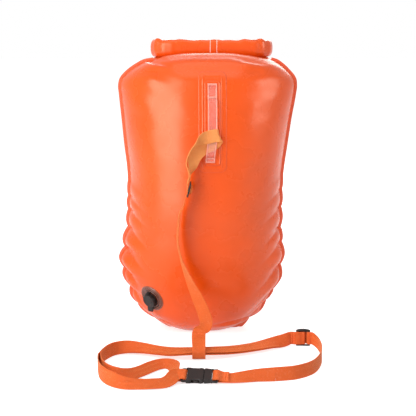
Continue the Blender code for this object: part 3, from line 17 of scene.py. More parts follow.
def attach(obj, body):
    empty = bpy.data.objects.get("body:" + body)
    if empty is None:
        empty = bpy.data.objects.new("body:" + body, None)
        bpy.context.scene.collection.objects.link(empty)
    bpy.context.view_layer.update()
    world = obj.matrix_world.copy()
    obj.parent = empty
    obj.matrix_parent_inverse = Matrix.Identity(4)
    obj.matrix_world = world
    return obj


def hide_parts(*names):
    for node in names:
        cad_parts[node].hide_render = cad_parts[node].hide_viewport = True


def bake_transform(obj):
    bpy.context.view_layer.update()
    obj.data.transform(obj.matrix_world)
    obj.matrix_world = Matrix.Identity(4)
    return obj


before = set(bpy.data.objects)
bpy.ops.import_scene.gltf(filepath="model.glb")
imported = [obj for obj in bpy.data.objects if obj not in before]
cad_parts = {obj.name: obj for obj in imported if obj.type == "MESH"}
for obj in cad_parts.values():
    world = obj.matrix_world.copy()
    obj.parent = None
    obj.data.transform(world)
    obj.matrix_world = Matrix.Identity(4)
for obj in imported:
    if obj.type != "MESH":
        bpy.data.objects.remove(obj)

Array = np.ndarray
Finish = bpy.types.Material
Piece = bpy.types.Object
Socket = bpy.types.NodeSocket
Pair = tuple[float, float]
Place = tuple[float, float, float]
Colour = tuple[float, float, float]

LOG = logging.getLogger("swim_buoy")
SHARP_EDGE_DEGREES = 38.0
STITCH_SWING = 0.001
STITCH_PITCH = 0.00045
THREAD_SIZE = 0.0004
THREAD_SIDES = 6
OVAL_SIDES = 12
EDGE_STEPS = 7
SLOPE_STEP_SHARE = 1e-4
SAME_PLACE = 1e-5
LEAST_LENGTH = 1e-12
STEPS_PER_ROW = 24
WEAVE_WALL_SHARE = 0.82
SELVAGE_EASE_SHARE = 1.5

# Each row: share of the way up, reach of the left and right weld, and height of the weld
EDGE_SHARES = (
    (0.0, 0.329, 0.329, 0.0), (0.03, 0.471, 0.445, 0.02), (0.055, 0.63, 0.56, 0.05),
    (0.1, 0.793, 0.71, 0.1), (0.16, 0.869, 0.836, 0.161), (0.233, 0.94, 0.89, 0.233),
    (0.311, 0.929, 0.905, 0.311), (0.388, 0.9, 0.886, 0.388), (0.455, 0.903, 0.886, 0.455),
    (0.52, 0.911, 0.89, 0.52), (0.6, 0.925, 0.902, 0.6), (0.7, 0.97, 0.933, 0.7),
    (0.8, 1.012, 0.966, 0.8), (0.88, 1.048, 0.998, 0.88), (0.915, 1.06, 1.004, 0.914),
    (0.938, 1.04, 0.985, 0.937), (0.958, 0.978, 0.925, 0.959), (0.977, 0.885, 0.85, 0.981),
    (0.99, 0.795, 0.78, 0.996), (1.0, 0.696, 0.716, 1.002),
)
# Each row: share of the way up, depth and height of the middle of a panel
FRONT_PROFILE_SHARES = (
    (0.0, -0.035, -0.004), (0.03, 0.21, -0.004), (0.055, 0.35, 0.008), (0.09, 0.51, 0.032),
    (0.14, 0.68, 0.08), (0.21, 0.84, 0.16), (0.3, 0.945, 0.275), (0.42, 0.995, 0.41),
    (0.55, 1.0, 0.545), (0.68, 0.985, 0.68), (0.8, 0.945, 0.806), (0.88, 0.875, 0.893),
    (0.94, 0.74, 0.966), (0.97, 0.53, 1.013), (0.988, 0.25, 1.027), (1.0, 0.022, 0.991),
)
BACK_PROFILE_SHARES = (
    (0.0, 0.063, -0.004), (0.03, 0.25, -0.004), (0.055, 0.37, 0.008), (0.09, 0.52, 0.032),
    (0.14, 0.69, 0.08), (0.21, 0.85, 0.16), (0.3, 0.955, 0.275), (0.42, 1.0, 0.41),
    (0.55, 1.0, 0.545), (0.68, 0.975, 0.68), (0.8, 0.91, 0.806), (0.88, 0.82, 0.888),
    (0.94, 0.7, 0.94), (0.97, 0.54, 0.97), (0.988, 0.28, 0.984), (1.0, 0.022, 0.991),
)
# Where the side welds pucker inwards, as shares of the way up, and how far each lobe swells between
LEFT_VALLEY_SHARES = (0.0, 0.05, 0.1, 0.162, 0.233, 0.311, 0.388, 0.455, 0.505, 0.56)
LEFT_LOBE_SHARES = (0.014, 0.018, 0.039, 0.05, 0.071, 0.054, 0.032, 0.021, 0.011)
RIGHT_VALLEY_SHARES = (0.0, 0.052, 0.112, 0.15, 0.245, 0.33, 0.385, 0.463, 0.53, 0.58)
RIGHT_LOBE_SHARES = (0.043, 0.043, 0.018, 0.05, 0.046, 0.025, 0.029, 0.018, 0.007)
LOBE_TABLES = ((RIGHT_VALLEY_SHARES, RIGHT_LOBE_SHARES), (LEFT_VALLEY_SHARES, LEFT_LOBE_SHARES))
# Each row: the values of one Fold, in its order
FRONT_FOLDS = (
    ((-0.104, 0.4475), (-0.046, 0.4335), 0.0038, 0.003, -0.002, 0.08, 0.5),
    ((0.036, 0.449), (0.106, 0.436), 0.0022, 0.0034, -0.0012, 0.45, 0.3),
    ((-0.12, 0.408), (-0.02, 0.352), 0.0013, 0.012, 0.0009, 0.3, 0.5),
    ((-0.085, 0.43), (-0.03, 0.402), 0.0011, 0.008, 0.0006, 0.2, 0.6),
    ((0.126, 0.41), (0.04, 0.372), 0.0012, 0.012, -0.0009, 0.3, 0.5),
    ((0.095, 0.432), (0.045, 0.412), 0.0009, 0.0075, -0.0005, 0.2, 0.6),
    ((0.02, 0.402), (0.066, 0.409), 0.0007, 0.0028, 0.0003, 0.2, 0.6),
    ((0.022, 0.396), (0.056, 0.4), 0.0006, 0.0026, 0.0003, 0.2, 0.6),
    ((-0.128, 0.372), (-0.05, 0.316), 0.0008, 0.013, 0.0005, 0.3, 0.6),
    ((0.092, 0.024), (0.004, 0.0155), 0.0034, 0.0026, 0.0016, 0.1, 0.5),
    ((-0.096, 0.026), (-0.04, 0.015), 0.0022, 0.0028, -0.001, 0.15, 0.5),
    ((0.11, 0.3), (0.06, 0.23), 0.001, 0.014, 0.0, 0.3, 0.6),
)
BACK_FOLDS = (
    ((0.108, 0.433), (0.04, 0.418), 0.004, 0.0032, -0.0014, 0.1, 0.5),
    ((-0.09, 0.433), (-0.03, 0.418), 0.004, 0.0032, 0.0014, 0.1, 0.5),
    ((0.125, 0.405), (0.03, 0.35), 0.0024, 0.012, -0.002, 0.3, 0.5),
    ((-0.112, 0.402), (-0.03, 0.356), 0.0022, 0.011, 0.002, 0.3, 0.5),
    ((0.092, 0.024), (0.01, 0.0155), 0.003, 0.0028, 0.0012, 0.1, 0.5),
    ((-0.096, 0.025), (-0.02, 0.015), 0.0026, 0.0028, -0.001, 0.15, 0.5),
)


# Shared mathematics

def unit(vectors: Array) -> Array:
    """Return the vectors of the last axis at length one."""
    vectors = np.asarray(vectors, dtype=float)
    return vectors / np.maximum(np.linalg.norm(vectors, axis=-1, keepdims=True), LEAST_LENGTH)


def smooth_step(values: Array, low: float, high: float) -> Array:
    """Ease from 0 at low to 1 at high: three times the share squared less twice its cube."""
    share = np.clip((values - low) / (high - low), 0, 1)
    return share * share * (3 - 2 * share)


def smooth_read(table: tuple, places: Array) -> Array:
    """Read a table with a cubic through its rows, whose slopes are central differences.

    Args:
        table: Rows of a place and its values.
        places: Places to read.

    Returns:
        Array with one more axis, that holds the values.
    """
    rows = np.array(table, dtype=float)
    keys, values = rows[:, 0], rows[:, 1:]
    slopes = np.gradient(values, keys, axis=0)
    places = np.asarray(places, dtype=float)
    index = np.clip(np.searchsorted(keys, places, side="right") - 1, 0, len(keys) - 2)
    span = (keys[index + 1] - keys[index])[..., None]
    part = (places - keys[index])[..., None] / span
    first = (1 + 2 * part) * (1 - part) ** 2 * values[index] + part * (1 - part) ** 2 * span * slopes[index]
    last = part ** 2 * (3 - 2 * part) * values[index + 1] - part ** 2 * (1 - part) * span * slopes[index + 1]
    return first + last


def smooth_line(rows: Array, spacing: float) -> Array:
    """Pass a curve through rows of place and direction, and cut it into even steps.

    The curve is a cubic between rows, with the parameter growing as the square root of the
    distance, so that it neither loops nor swings wide at tight turns.

    Args:
        rows: Rows whose first three columns are a place.
        spacing: Distance between the steps, in metres.

    Returns:
        Rows at even steps.
    """
    rows = np.asarray(rows, dtype=float)
    gaps = np.linalg.norm(np.diff(rows[:, :3], axis=0), axis=1)
    rows = rows[np.concatenate([[True], gaps > SAME_PLACE])]
    gaps = np.linalg.norm(np.diff(rows[:, :3], axis=0), axis=1)
    keys = np.concatenate([[0], np.cumsum(np.sqrt(gaps))])
    table = np.column_stack([keys, rows])
    fine = smooth_read(table, np.linspace(0, keys[-1], len(rows) * STEPS_PER_ROW))
    length = np.concatenate([[0], np.cumsum(np.linalg.norm(np.diff(fine[:, :3], axis=0), axis=1))])
    count = max(int(round(length[-1] / spacing)), 2)
    places = np.linspace(0, length[-1], count + 1)
    return np.stack([np.interp(places, length, fine[:, column]) for column in range(fine.shape[1])], axis=1)


def crowded(count: int) -> Array:
    """Return shares from -1 to 1, closest together at both ends."""
    turn = np.linspace(-1, 1, count)
    return np.clip((np.sin(turn * math.pi / 2) + turn) / 2, -1, 1)


def grid_quads(rows: int, columns: int, wrap: bool = False, start: int = 0) -> Array:
    """List the corners of a grid's quads.

    Args:
        rows: Number of rows of points.
        columns: Number of points in a row.
        wrap: Whether each row closes on itself.
        start: Index of the grid's first point.

    Returns:
        Array of four indices for each quad.
    """
    across = columns if wrap else columns - 1
    row, column = np.meshgrid(np.arange(rows - 1), np.arange(across), indexing="ij")
    following = (column + 1) % columns
    quads = np.stack([row * columns + column, row * columns + following,
                      (row + 1) * columns + following, (row + 1) * columns + column], axis=-1)
    return quads.reshape(-1, 4) + start


def grid_rim(rows: int, columns: int) -> Array:
    """List the points round the border of a grid, in order."""
    last = (rows - 1) * columns
    return np.concatenate([np.arange(columns), np.arange(2, rows) * columns - 1,
                           np.arange(last + columns - 1, last - 1, -1),
                           np.arange(rows - 2, 0, -1) * columns])


# Pieces

class Slot(Enum):
    """Names of material slots, passed along with new pieces."""

    SHEET = "bag_sheet"
    NECK = "neck_sheet"
    LINER = "liner"
    WEBBING = "webbing"
    CLEAR = "clear_pvc"
    HARDWARE = "hardware"
    VALVE = "valve_plastic"
    SMOKED = "smoked_pvc"


def add_object(name: str, data: bpy.types.ID) -> Piece:
    """Put an object with its data in the scene."""
    made = bpy.data.objects.new(name, data)
    bpy.context.scene.collection.objects.link(made)
    return made


def make_piece(name: str, points: Array, faces: list, material: Finish,
               uv: Array | None = None, marks: dict[str, Array] | None = None) -> Piece:
    """Put points and faces into a mesh object at the origin.

    Args:
        name: Name of the piece.
        points: Places in the row frame.
        faces: Corner indices of each face.
        material: Finish of the piece.
        uv: Place of each point on the unrolled piece, in metres.
        marks: Named values of each point, for the material.

    Returns:
        The new object, with outward faces and smooth shading.
    """
    mesh = bpy.data.meshes.new(name)
    mesh.from_pydata(np.asarray(points, dtype=float).tolist(), [], faces)
    shape = bmesh.new()
    shape.from_mesh(mesh)
    bmesh.ops.recalc_face_normals(shape, faces=shape.faces)
    shape.to_mesh(mesh)
    shape.free()
    if uv is not None:
        corners = np.empty(len(mesh.loops), dtype=np.int32)
        mesh.loops.foreach_get("vertex_index", corners)
        layer = mesh.uv_layers.new(name="run")
        layer.data.foreach_set("uv", np.asarray(uv, dtype=np.float32)[corners].ravel())
    for mark, values in (marks or {}).items():
        attribute = mesh.attributes.new(mark, "FLOAT", "POINT")
        attribute.data.foreach_set("value", np.asarray(values, dtype=np.float32).ravel())
    mesh.shade_smooth()
    mesh.set_sharp_from_angle(angle=math.radians(SHARP_EDGE_DEGREES))
    mesh.materials.append(material)
    return add_object(name, mesh)


def shell_piece(name: str, outer: Array, inner: Array, material: Finish,
                marks: dict[str, Array] | None = None) -> Piece:
    """Close two matching grids into one thin wall.

    Args:
        name: Name of the piece.
        outer: Grid of places on the outside.
        inner: Grid of places on the inside.
        material: Finish of the piece.
        marks: Named grids of values, for the material.

    Returns:
        The new object.
    """
    rows, columns = outer.shape[:2]
    shift = rows * columns
    rim = grid_rim(rows, columns)
    following = np.roll(rim, -1)
    walls = np.stack([rim, following, following + shift, rim + shift], axis=-1)
    inside = grid_quads(rows, columns, start=shift)[:, ::-1]
    quads = np.concatenate([grid_quads(rows, columns), inside, walls])
    points = np.concatenate([outer.reshape(-1, 3), inner.reshape(-1, 3)])
    along = np.broadcast_to(np.arange(rows)[:, None] / rows, (rows, columns))
    across = np.broadcast_to(np.arange(columns)[None, :] / columns, (rows, columns))
    uv = np.tile(np.stack([across, along], axis=-1).reshape(-1, 2), (2, 1))
    doubled = {key: np.tile(np.asarray(grid).ravel(), 2) for key, grid in (marks or {}).items()}
    return make_piece(name, points, quads.tolist(), material, uv, doubled)


def carry_section(name: str, rows: Array, section: Array, material: Finish,
                  start: float = 0.0, shares: Array | None = None) -> Piece:
    """Carry a closed flat section along a line.

    Each point is the line's place, plus the section's first value along the line's across
    direction, plus its second value along the normal, the cross product of across and heading.

    Args:
        name: Name of the piece.
        rows: Rows of place and across direction.
        section: Places across and out, in order round the section.
        material: Finish of the piece.
        start: Run of the line before its first row, in metres, for the pattern.
        shares: Share of its size that the section has at each row; whole where left out.

    Returns:
        The new object, closed at both ends.
    """
    centres = rows[:, :3]
    sizes = np.ones(len(centres)) if shares is None else np.asarray(shares, dtype=float)
    heading = unit(np.gradient(centres, axis=0))
    across = rows[:, 3:6]
    across = unit(across - heading * np.sum(across * heading, axis=1, keepdims=True))
    normals = np.cross(across, heading)
    sections = section[None] * sizes[:, None, None]
    rings = centres[:, None] + across[:, None] * sections[..., :1] + normals[:, None] * sections[..., 1:]
    count, size = len(centres), len(section)
    faces = grid_quads(count, size, wrap=True).tolist()
    faces.append(list(range(size)))
    faces.append([(count - 1) * size + corner for corner in range(size)])
    run = start + np.concatenate([[0], np.cumsum(np.linalg.norm(np.diff(centres, axis=0), axis=1))])
    uv = np.stack(np.broadcast_arrays(run[:, None], section[None, :, 0]), axis=-1).reshape(-1, 2)
    return make_piece(name, rings.reshape(-1, 3), faces, material, uv)


def strap_section(width: float, wall: float, selvage: float) -> Array:
    """Return the section of a woven strap: flat faces, thicker selvages and round edges.

    Args:
        width: Width of the strap.
        wall: Thickness of the strap.
        selvage: Width of the thicker edge.

    Returns:
        Places across and out, in order round the section.
    """
    half, edge = wall / 2, width / 2
    turn = np.linspace(-math.pi / 2, math.pi / 2, EDGE_STEPS)
    right = np.stack([edge - half + half * np.cos(turn), half * np.sin(turn)], axis=-1)
    dip = half * WEAVE_WALL_SHARE
    eased = edge - selvage * SELVAGE_EASE_SHARE
    places = np.array([edge - selvage, eased, 0, -eased, selvage - edge])
    top = np.stack([places, np.array([half, dip, dip, dip, half])], axis=-1)
    return np.concatenate([right, top, right[::-1] * [-1, 1], top[::-1] * [1, -1]])


def oval_section(width: float, wall: float, count: int = OVAL_SIDES, aside: float = 0.0) -> Array:
    """Return an oval section, moved aside along its width."""
    turn = np.arange(count) * 2 * math.pi / count
    return np.stack([aside + width / 2 * np.cos(turn), wall / 2 * np.sin(turn)], axis=-1)


def slab_section(width: float, wall: float) -> Array:
    """Return the section of a flat slab with round edges."""
    half = wall / 2
    turn = np.linspace(-math.pi / 2, math.pi / 2, EDGE_STEPS)
    right = np.stack([width / 2 - half + half * np.cos(turn), half * np.sin(turn)], axis=-1)
    return np.concatenate([right, right[::-1] * [-1, 1]])


def bar_tack(name: str, place: Matrix, width: float, thread: Finish) -> Piece:
    """Make a dense row of zigzag stitches across a strap.

    The thread swings along the strap by a fixed reach while it steps across, as a triangle wave.

    Args:
        name: Name of the piece.
        place: Frame on the strap's face: along the strap, across it and outwards.
        width: Length of the row.
        thread: Finish of the thread.

    Returns:
        The new object.
    """
    count = int(width / STITCH_PITCH)
    across = (np.arange(count) - (count - 1) / 2) * STITCH_PITCH
    along = STITCH_SWING * (2 * (np.arange(count) % 2) - 1)
    points = local(place, np.stack([along, across, np.zeros(count)], axis=-1))
    rows = with_across(points, place.col[2][:3])
    section = oval_section(THREAD_SIZE, THREAD_SIZE, THREAD_SIDES)
    return dress(carry_section(name, rows, section, thread), Slot.WEBBING)


def dress(piece: Piece, slot: Slot, *nodes: str) -> Piece:
    """Hide the solids that a piece stands for, and log the piece."""
    if nodes:
        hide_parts(*nodes)
    LOG.info("made %s", piece.name)
    return piece


def repaint(node: str, material: Finish) -> None:
    """Give a solid of the frame its finish."""
    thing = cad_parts[node]
    thing.data.materials.clear()
    thing.data.materials.append(material)
    LOG.info("finished %s", node)


# Finishes

class Nodes:
    """A node tree under construction."""

    def __init__(self, tree: bpy.types.NodeTree) -> None:
        """Keep the tree."""
        self.tree = tree

    def node(self, kind: str, settings: dict | None = None, **inputs: object) -> bpy.types.Node:
        """Add a node.

        Args:
            kind: Blender's name of the node type.
            settings: Properties of the node.
            **inputs: Socket names, with underscores for spaces, and a value or a socket.

        Returns:
            The new node.
        """
        made = self.tree.nodes.new(kind)
        for key, value in (settings or {}).items():
            setattr(made, key, value)
        for key, value in inputs.items():
            self.feed(made.inputs[key.replace("_", " ")], value)
        return made

    def feed(self, socket: Socket, value: object) -> None:
        """Set a socket to a number or colour, or link it to an output."""
        if isinstance(value, Socket):
            self.tree.links.new(value, socket)
        else:
            socket.default_value = (*value, 1) if isinstance(value, tuple) else value

    def math(self, operation: str, first: object, second: object = 0.0) -> Socket:
        """Add a Math node and return its output."""
        made = self.node("ShaderNodeMath", {"operation": operation})
        self.feed(made.inputs[0], first)
        self.feed(made.inputs[1], second)
        return made.outputs[0]

    def place(self) -> Socket:
        """Return the place on the object, in metres."""
        return self.node("ShaderNodeTexCoord").outputs["Object"]

    def seen(self) -> Socket:
        """Return 1 for rays that end in the eye, through gloss and glass too, and 0 for others."""
        path = self.node("ShaderNodeLightPath").outputs
        through = self.math("MAXIMUM", path["Is Glossy Ray"], path["Is Transmission Ray"])
        return self.math("MAXIMUM", through, path["Is Camera Ray"])

    def run(self) -> tuple[Socket, Socket]:
        """Return how far along and how far across the unrolled piece a point is, in metres."""
        unrolled = self.node("ShaderNodeUVMap", {"uv_map": "run"}).outputs[0]
        parts = self.node("ShaderNodeSeparateXYZ", Vector=unrolled)
        return parts.outputs[0], parts.outputs[1]

    def mark(self, name: str) -> Socket:
        """Return a named value of the piece's points."""
        return self.node("ShaderNodeAttribute", {"attribute_name": name}).outputs["Fac"]

    def noise(self, scale: float, detail: float, rough: float = 0.5) -> Socket:
        """Return soft noise of about 0.5."""
        made = self.node("ShaderNodeTexNoise", Vector=self.place(), Scale=scale, Detail=detail,
                         Roughness=rough)
        return made.outputs["Fac"]

    def spread(self, value: Socket, low: float = 0.0, high: float = 1.0,
               start: float = 0.3, end: float = 0.7) -> Socket:
        """Map a value from start..end to low..high."""
        made = self.node("ShaderNodeMapRange", {"interpolation_type": "SMOOTHSTEP"})
        for index, number in enumerate((value, start, end, low, high)):
            self.feed(made.inputs[index], number)
        return made.outputs[0]

    def blend(self, share: object, first: object, second: object) -> Socket:
        """Mix two colours."""
        made = self.node("ShaderNodeMix", {"data_type": "RGBA"})
        self.feed(made.inputs[0], share)
        self.feed(made.inputs[6], first)
        self.feed(made.inputs[7], second)
        return made.outputs[2]

    def drift(self, colour: Colour, scale: float, low: float, high: float, detail: float = 4.0) -> Socket:
        """Let a colour wander between two shares of itself."""
        share = self.spread(self.noise(scale, detail))
        return self.blend(share, shade(colour, low), shade(colour, high))

    def relief(self, height: Socket, strength: float, depth: float, before: Socket | None = None) -> Socket:
        """Return a normal tilted by a height."""
        made = self.node("ShaderNodeBump", Strength=strength, Distance=depth, Height=height)
        if before is not None:
            self.feed(made.inputs["Normal"], before)
        return made.outputs[0]


class Shader(Nodes):
    """A Principled material under construction."""

    def __init__(self, name: str) -> None:
        """Start a material with only its surface shader."""
        self.material = bpy.data.materials.new(name)
        self.material.use_nodes = True
        super().__init__(self.material.node_tree)
        self.surface = self.tree.nodes["Principled BSDF"]

    def paint(self, **inputs: object) -> Finish:
        """Set the surface shader's sockets and return the material."""
        for key, value in inputs.items():
            self.feed(self.surface.inputs[key.replace("_", " ")], value)
        return self.material


def shade(colour: Colour, share: float) -> Colour:
    """Return a colour made darker or lighter by a share."""
    return tuple(part * share for part in colour)


@dataclass(frozen=True)
class CoatedSheet:
    """Glossy welded sheet, with a faint grain, a tone that drifts, and a painted reflection on its welds."""

    name: str
    colour: Colour
    roughness: float = 0.27
    drift_scale: float = 7.0
    gloss_scale: float = 26.0
    wave_scale: float = 38.0
    wave_depth: float = 0.004
    scuff_scale: float = 90.0
    grain_scale: float = 1400.0
    grain_depth: float = 0.0003
    # Painted reflection: a pinker tone for light passing through and glancing off the thin weld edges
    weld_reflection_tone: Colour = (0.74, 0.118, 0.052)
    gloss_tint: Colour = (1.0, 0.86, 0.68)
    stripes: tuple[float, ...] = ()
    stripe_half: float = 0.00045
    stripe_tone: Colour = (0.9, 0.62, 0.56)

    def material(self) -> Finish:
        """Build the nodes."""
        shader = Shader(self.name)
        tone = shader.drift(self.colour, self.drift_scale, 0.93, 1.05)
        # Painted reflection: the weld mark blends in the pinker tone on the welds and on the patches' borders
        tone = shader.blend(shader.mark("weld"), tone, self.weld_reflection_tone)
        if self.stripes:
            tone = self.striped(shader, tone)
        dull = shader.noise(self.gloss_scale, 5.0)
        gloss = shader.spread(dull, self.roughness - 0.04, self.roughness + 0.06)
        scuffs = shader.spread(shader.noise(self.scuff_scale, 6.0, rough=0.7), 0.0, 0.07, 0.62, 0.8)
        grain = shader.relief(shader.noise(self.grain_scale, 2.0), 0.1, self.grain_depth)
        normal = shader.relief(shader.noise(self.wave_scale, 2.0), 0.12, self.wave_depth, grain)
        return shader.paint(Base_Color=tone, Roughness=shader.math("ADD", gloss, scuffs), Normal=normal,
                            IOR=1.5, Specular_Tint=self.gloss_tint)

    def striped(self, shader: Shader, tone: Socket) -> Socket:
        """Paint thin white upright lines on the front of the piece."""
        parts = shader.node("ShaderNodeSeparateXYZ", Vector=shader.place())
        facing = shader.math("LESS_THAN", parts.outputs[1], 0.0)
        for place in self.stripes:
            off = shader.math("ABSOLUTE", shader.math("SUBTRACT", parts.outputs[0], place))
            on = shader.math("MULTIPLY", shader.math("LESS_THAN", off, self.stripe_half), facing)
            tone = shader.blend(on, tone, self.stripe_tone)
        return tone


@dataclass(frozen=True)
class WovenWebbing:
    """Woven strap: fine slanting ribs that meet in chevrons, crossing picks, painted shade in the weave's
    hollows, and a painted highlight on its first run.
    """

    name: str
    colour: Colour
    rib_pitch: float = 0.0011
    pick_pitch: float = 0.0013
    panel_width: float = 0.0036
    roughness: float = 0.62
    sheen: Colour = (1.0, 0.62, 0.25)
    highlight_run: Pair = (0.0, 0.0)
    pale_highlight: Colour = (1.0, 0.4, 0.11)
    fuzz_scale: float = 2600.0
    drift_scale: float = 14.0
    dust_scale: float = 300.0
    dust: Colour = (0.95, 0.5, 0.28)
    weave_depth: float = 0.00035

    def material(self) -> Finish:
        """Build the nodes."""
        shader = Shader(self.name)
        along, across = shader.run()
        fold = shader.math("PINGPONG", shader.math("ADD", across, 1.0), self.panel_width)
        slant = shader.math("DIVIDE", shader.math("ADD", along, fold), self.rib_pitch)
        ribs = shader.math("SINE", shader.math("MULTIPLY", slant, 2 * math.pi))
        picks = shader.math("SINE", shader.math("MULTIPLY", along, 2 * math.pi / self.pick_pitch))
        warp = shader.math("SINE", shader.math("MULTIPLY", across, 4 * math.pi / self.rib_pitch))
        height = shader.math("ADD", shader.math("MULTIPLY", ribs, 0.6),
                             shader.math("MULTIPLY", shader.math("MULTIPLY", picks, warp), 0.4))
        fuzz = shader.math("MULTIPLY", shader.noise(self.fuzz_scale, 2.0), 0.5)
        height = shader.math("ADD", height, fuzz)
        tone = shader.drift(self.colour, self.drift_scale, 0.9, 1.08)
        # Painted highlight: the strap's first run fades into a paler tone
        if self.highlight_run[1] > 0:
            tone = shader.blend(shader.spread(along, 1.0, 0.0, *self.highlight_run), tone, self.pale_highlight)
        # Painted shade: the low places of the weave darken towards 70 % of the colour
        tone = shader.blend(shader.spread(height, 0.0, 1.0, -0.9, 0.9), shade(self.colour, 0.7), tone)
        dusty = shader.spread(shader.noise(self.dust_scale, 4.0), 0.0, 0.14, 0.55, 0.75)
        tone = shader.blend(dusty, tone, self.dust)
        normal = shader.relief(height, 0.55, self.weave_depth)
        return shader.paint(Base_Color=tone, Roughness=self.roughness, Normal=normal, Sheen_Weight=0.45,
                            Sheen_Roughness=0.35, Sheen_Tint=self.sheen, Specular_IOR_Level=0.3)


@dataclass(frozen=True)
class MouldedPlastic:
    """Moulded plastic: a fine spark-eroded grain, a soft gloss and paler worn spots."""

    name: str
    colour: Colour
    roughness: float = 0.42
    drift_scale: float = 60.0
    gloss_scale: float = 150.0
    wear_scale: float = 420.0
    grain_scale: float = 2400.0
    grain_strength: float = 0.22
    grain_depth: float = 0.0002
    wear_share: float = 1.8
    gloss_level: float = 0.3

    def material(self) -> Finish:
        """Build the nodes."""
        shader = Shader(self.name)
        grain = shader.noise(self.grain_scale, 2.0)
        tone = shader.drift(self.colour, self.drift_scale, 0.85, 1.15, 5.0)
        worn = shader.spread(shader.noise(self.wear_scale, 6.0, rough=0.7), 0.0, 0.25, 0.6, 0.78)
        tone = shader.blend(worn, tone, shade(self.colour, self.wear_share))
        dull = shader.noise(self.gloss_scale, 4.0)
        gloss = shader.spread(dull, self.roughness - 0.08, self.roughness + 0.1)
        normal = shader.relief(grain, self.grain_strength, self.grain_depth)
        return shader.paint(Base_Color=tone, Roughness=gloss, Normal=normal, IOR=1.49,
                            Specular_IOR_Level=self.gloss_level)


@dataclass(frozen=True)
class ClearSheet:
    """Clear flexible sheet with faint flow marks."""

    name: str
    colour: Colour
    roughness: float = 0.1
    passing: float = 0.96
    mark_scale: float = 70.0
    mark_depth: float = 0.001
    gloss_scale: float = 240.0

    def material(self) -> Finish:
        """Build the nodes."""
        shader = Shader(self.name)
        marks = shader.noise(self.mark_scale, 3.0)
        tone = shader.blend(shader.spread(marks), self.colour, shade(self.colour, 0.93))
        dull = shader.noise(self.gloss_scale, 4.0)
        gloss = shader.spread(dull, self.roughness - 0.03, self.roughness + 0.08)
        normal = shader.relief(marks, 0.1, self.mark_depth)
        return shader.paint(Base_Color=tone, Roughness=gloss, Normal=normal, Transmission_Weight=self.passing,
                            IOR=1.38, Coat_Weight=0.3, Coat_Roughness=0.08)


@dataclass(frozen=True)
class SmokedSheet:
    """Dark see-through sheet, paler towards its thin rim, with painted shade in each groove."""

    name: str
    colour: Colour
    roughness: float = 0.26
    passing: float = 0.35
    rim: Colour = (0.36, 0.11, 0.055)
    # Painted shade: near-black colour for each groove beside the flange's rings
    groove: Colour = (0.05, 0.01, 0.005)
    drift_scale: float = 130.0
    grain_scale: float = 900.0
    grain_depth: float = 0.0004

    def material(self) -> Finish:
        """Build the nodes."""
        shader = Shader(self.name)
        tone = shader.drift(self.colour, self.drift_scale, 0.75, 1.3)
        tone = shader.blend(shader.mark("rim"), tone, self.rim)
        # Painted shade in each groove
        tone = shader.blend(shader.mark("groove"), tone, self.groove)
        normal = shader.relief(shader.noise(self.grain_scale, 3.0), 0.15, self.grain_depth)
        return shader.paint(Base_Color=tone, Roughness=self.roughness, Normal=normal,
                            Transmission_Weight=self.passing, IOR=1.46)


# Bag

@dataclass(frozen=True)
class Fold:
    """A crease of the sheet, or a soft wave when it is wide, along a line seen from the front.

    It sets in and fades over shares of its length, and its lip rises beside it.
    """

    start: Pair
    end: Pair
    depth: float
    width: float
    lip: float
    onset_share: float
    fade_share: float
    lip_width_share: float = 1.4

    def press(self, right: Array, up: Array) -> Array:
        """Work out how far the fold moves the sheet outwards.

        The fold falls off as exp of minus the squared distance from its line over its width. The
        lip does the same round a line two widths to the fold's left.

        Args:
            right: Places to the right.
            up: Places up.

        Returns:
            Array of distances, negative inwards.
        """
        run = np.array(self.end) - np.array(self.start)
        length = np.linalg.norm(run)
        along = ((right - self.start[0]) * run[0] + (up - self.start[1]) * run[1]) / length ** 2
        aside = ((up - self.start[1]) * run[0] - (right - self.start[0]) * run[1]) / length
        taper = smooth_step(along, 0, self.onset_share) * (1 - smooth_step(along, 1 - self.fade_share, 1))
        groove = -self.depth * np.exp(-(aside / self.width) ** 2)
        ridge = self.lip * np.exp(-((aside / self.width - 2) / self.lip_width_share) ** 2)
        return taper * (groove + ridge)


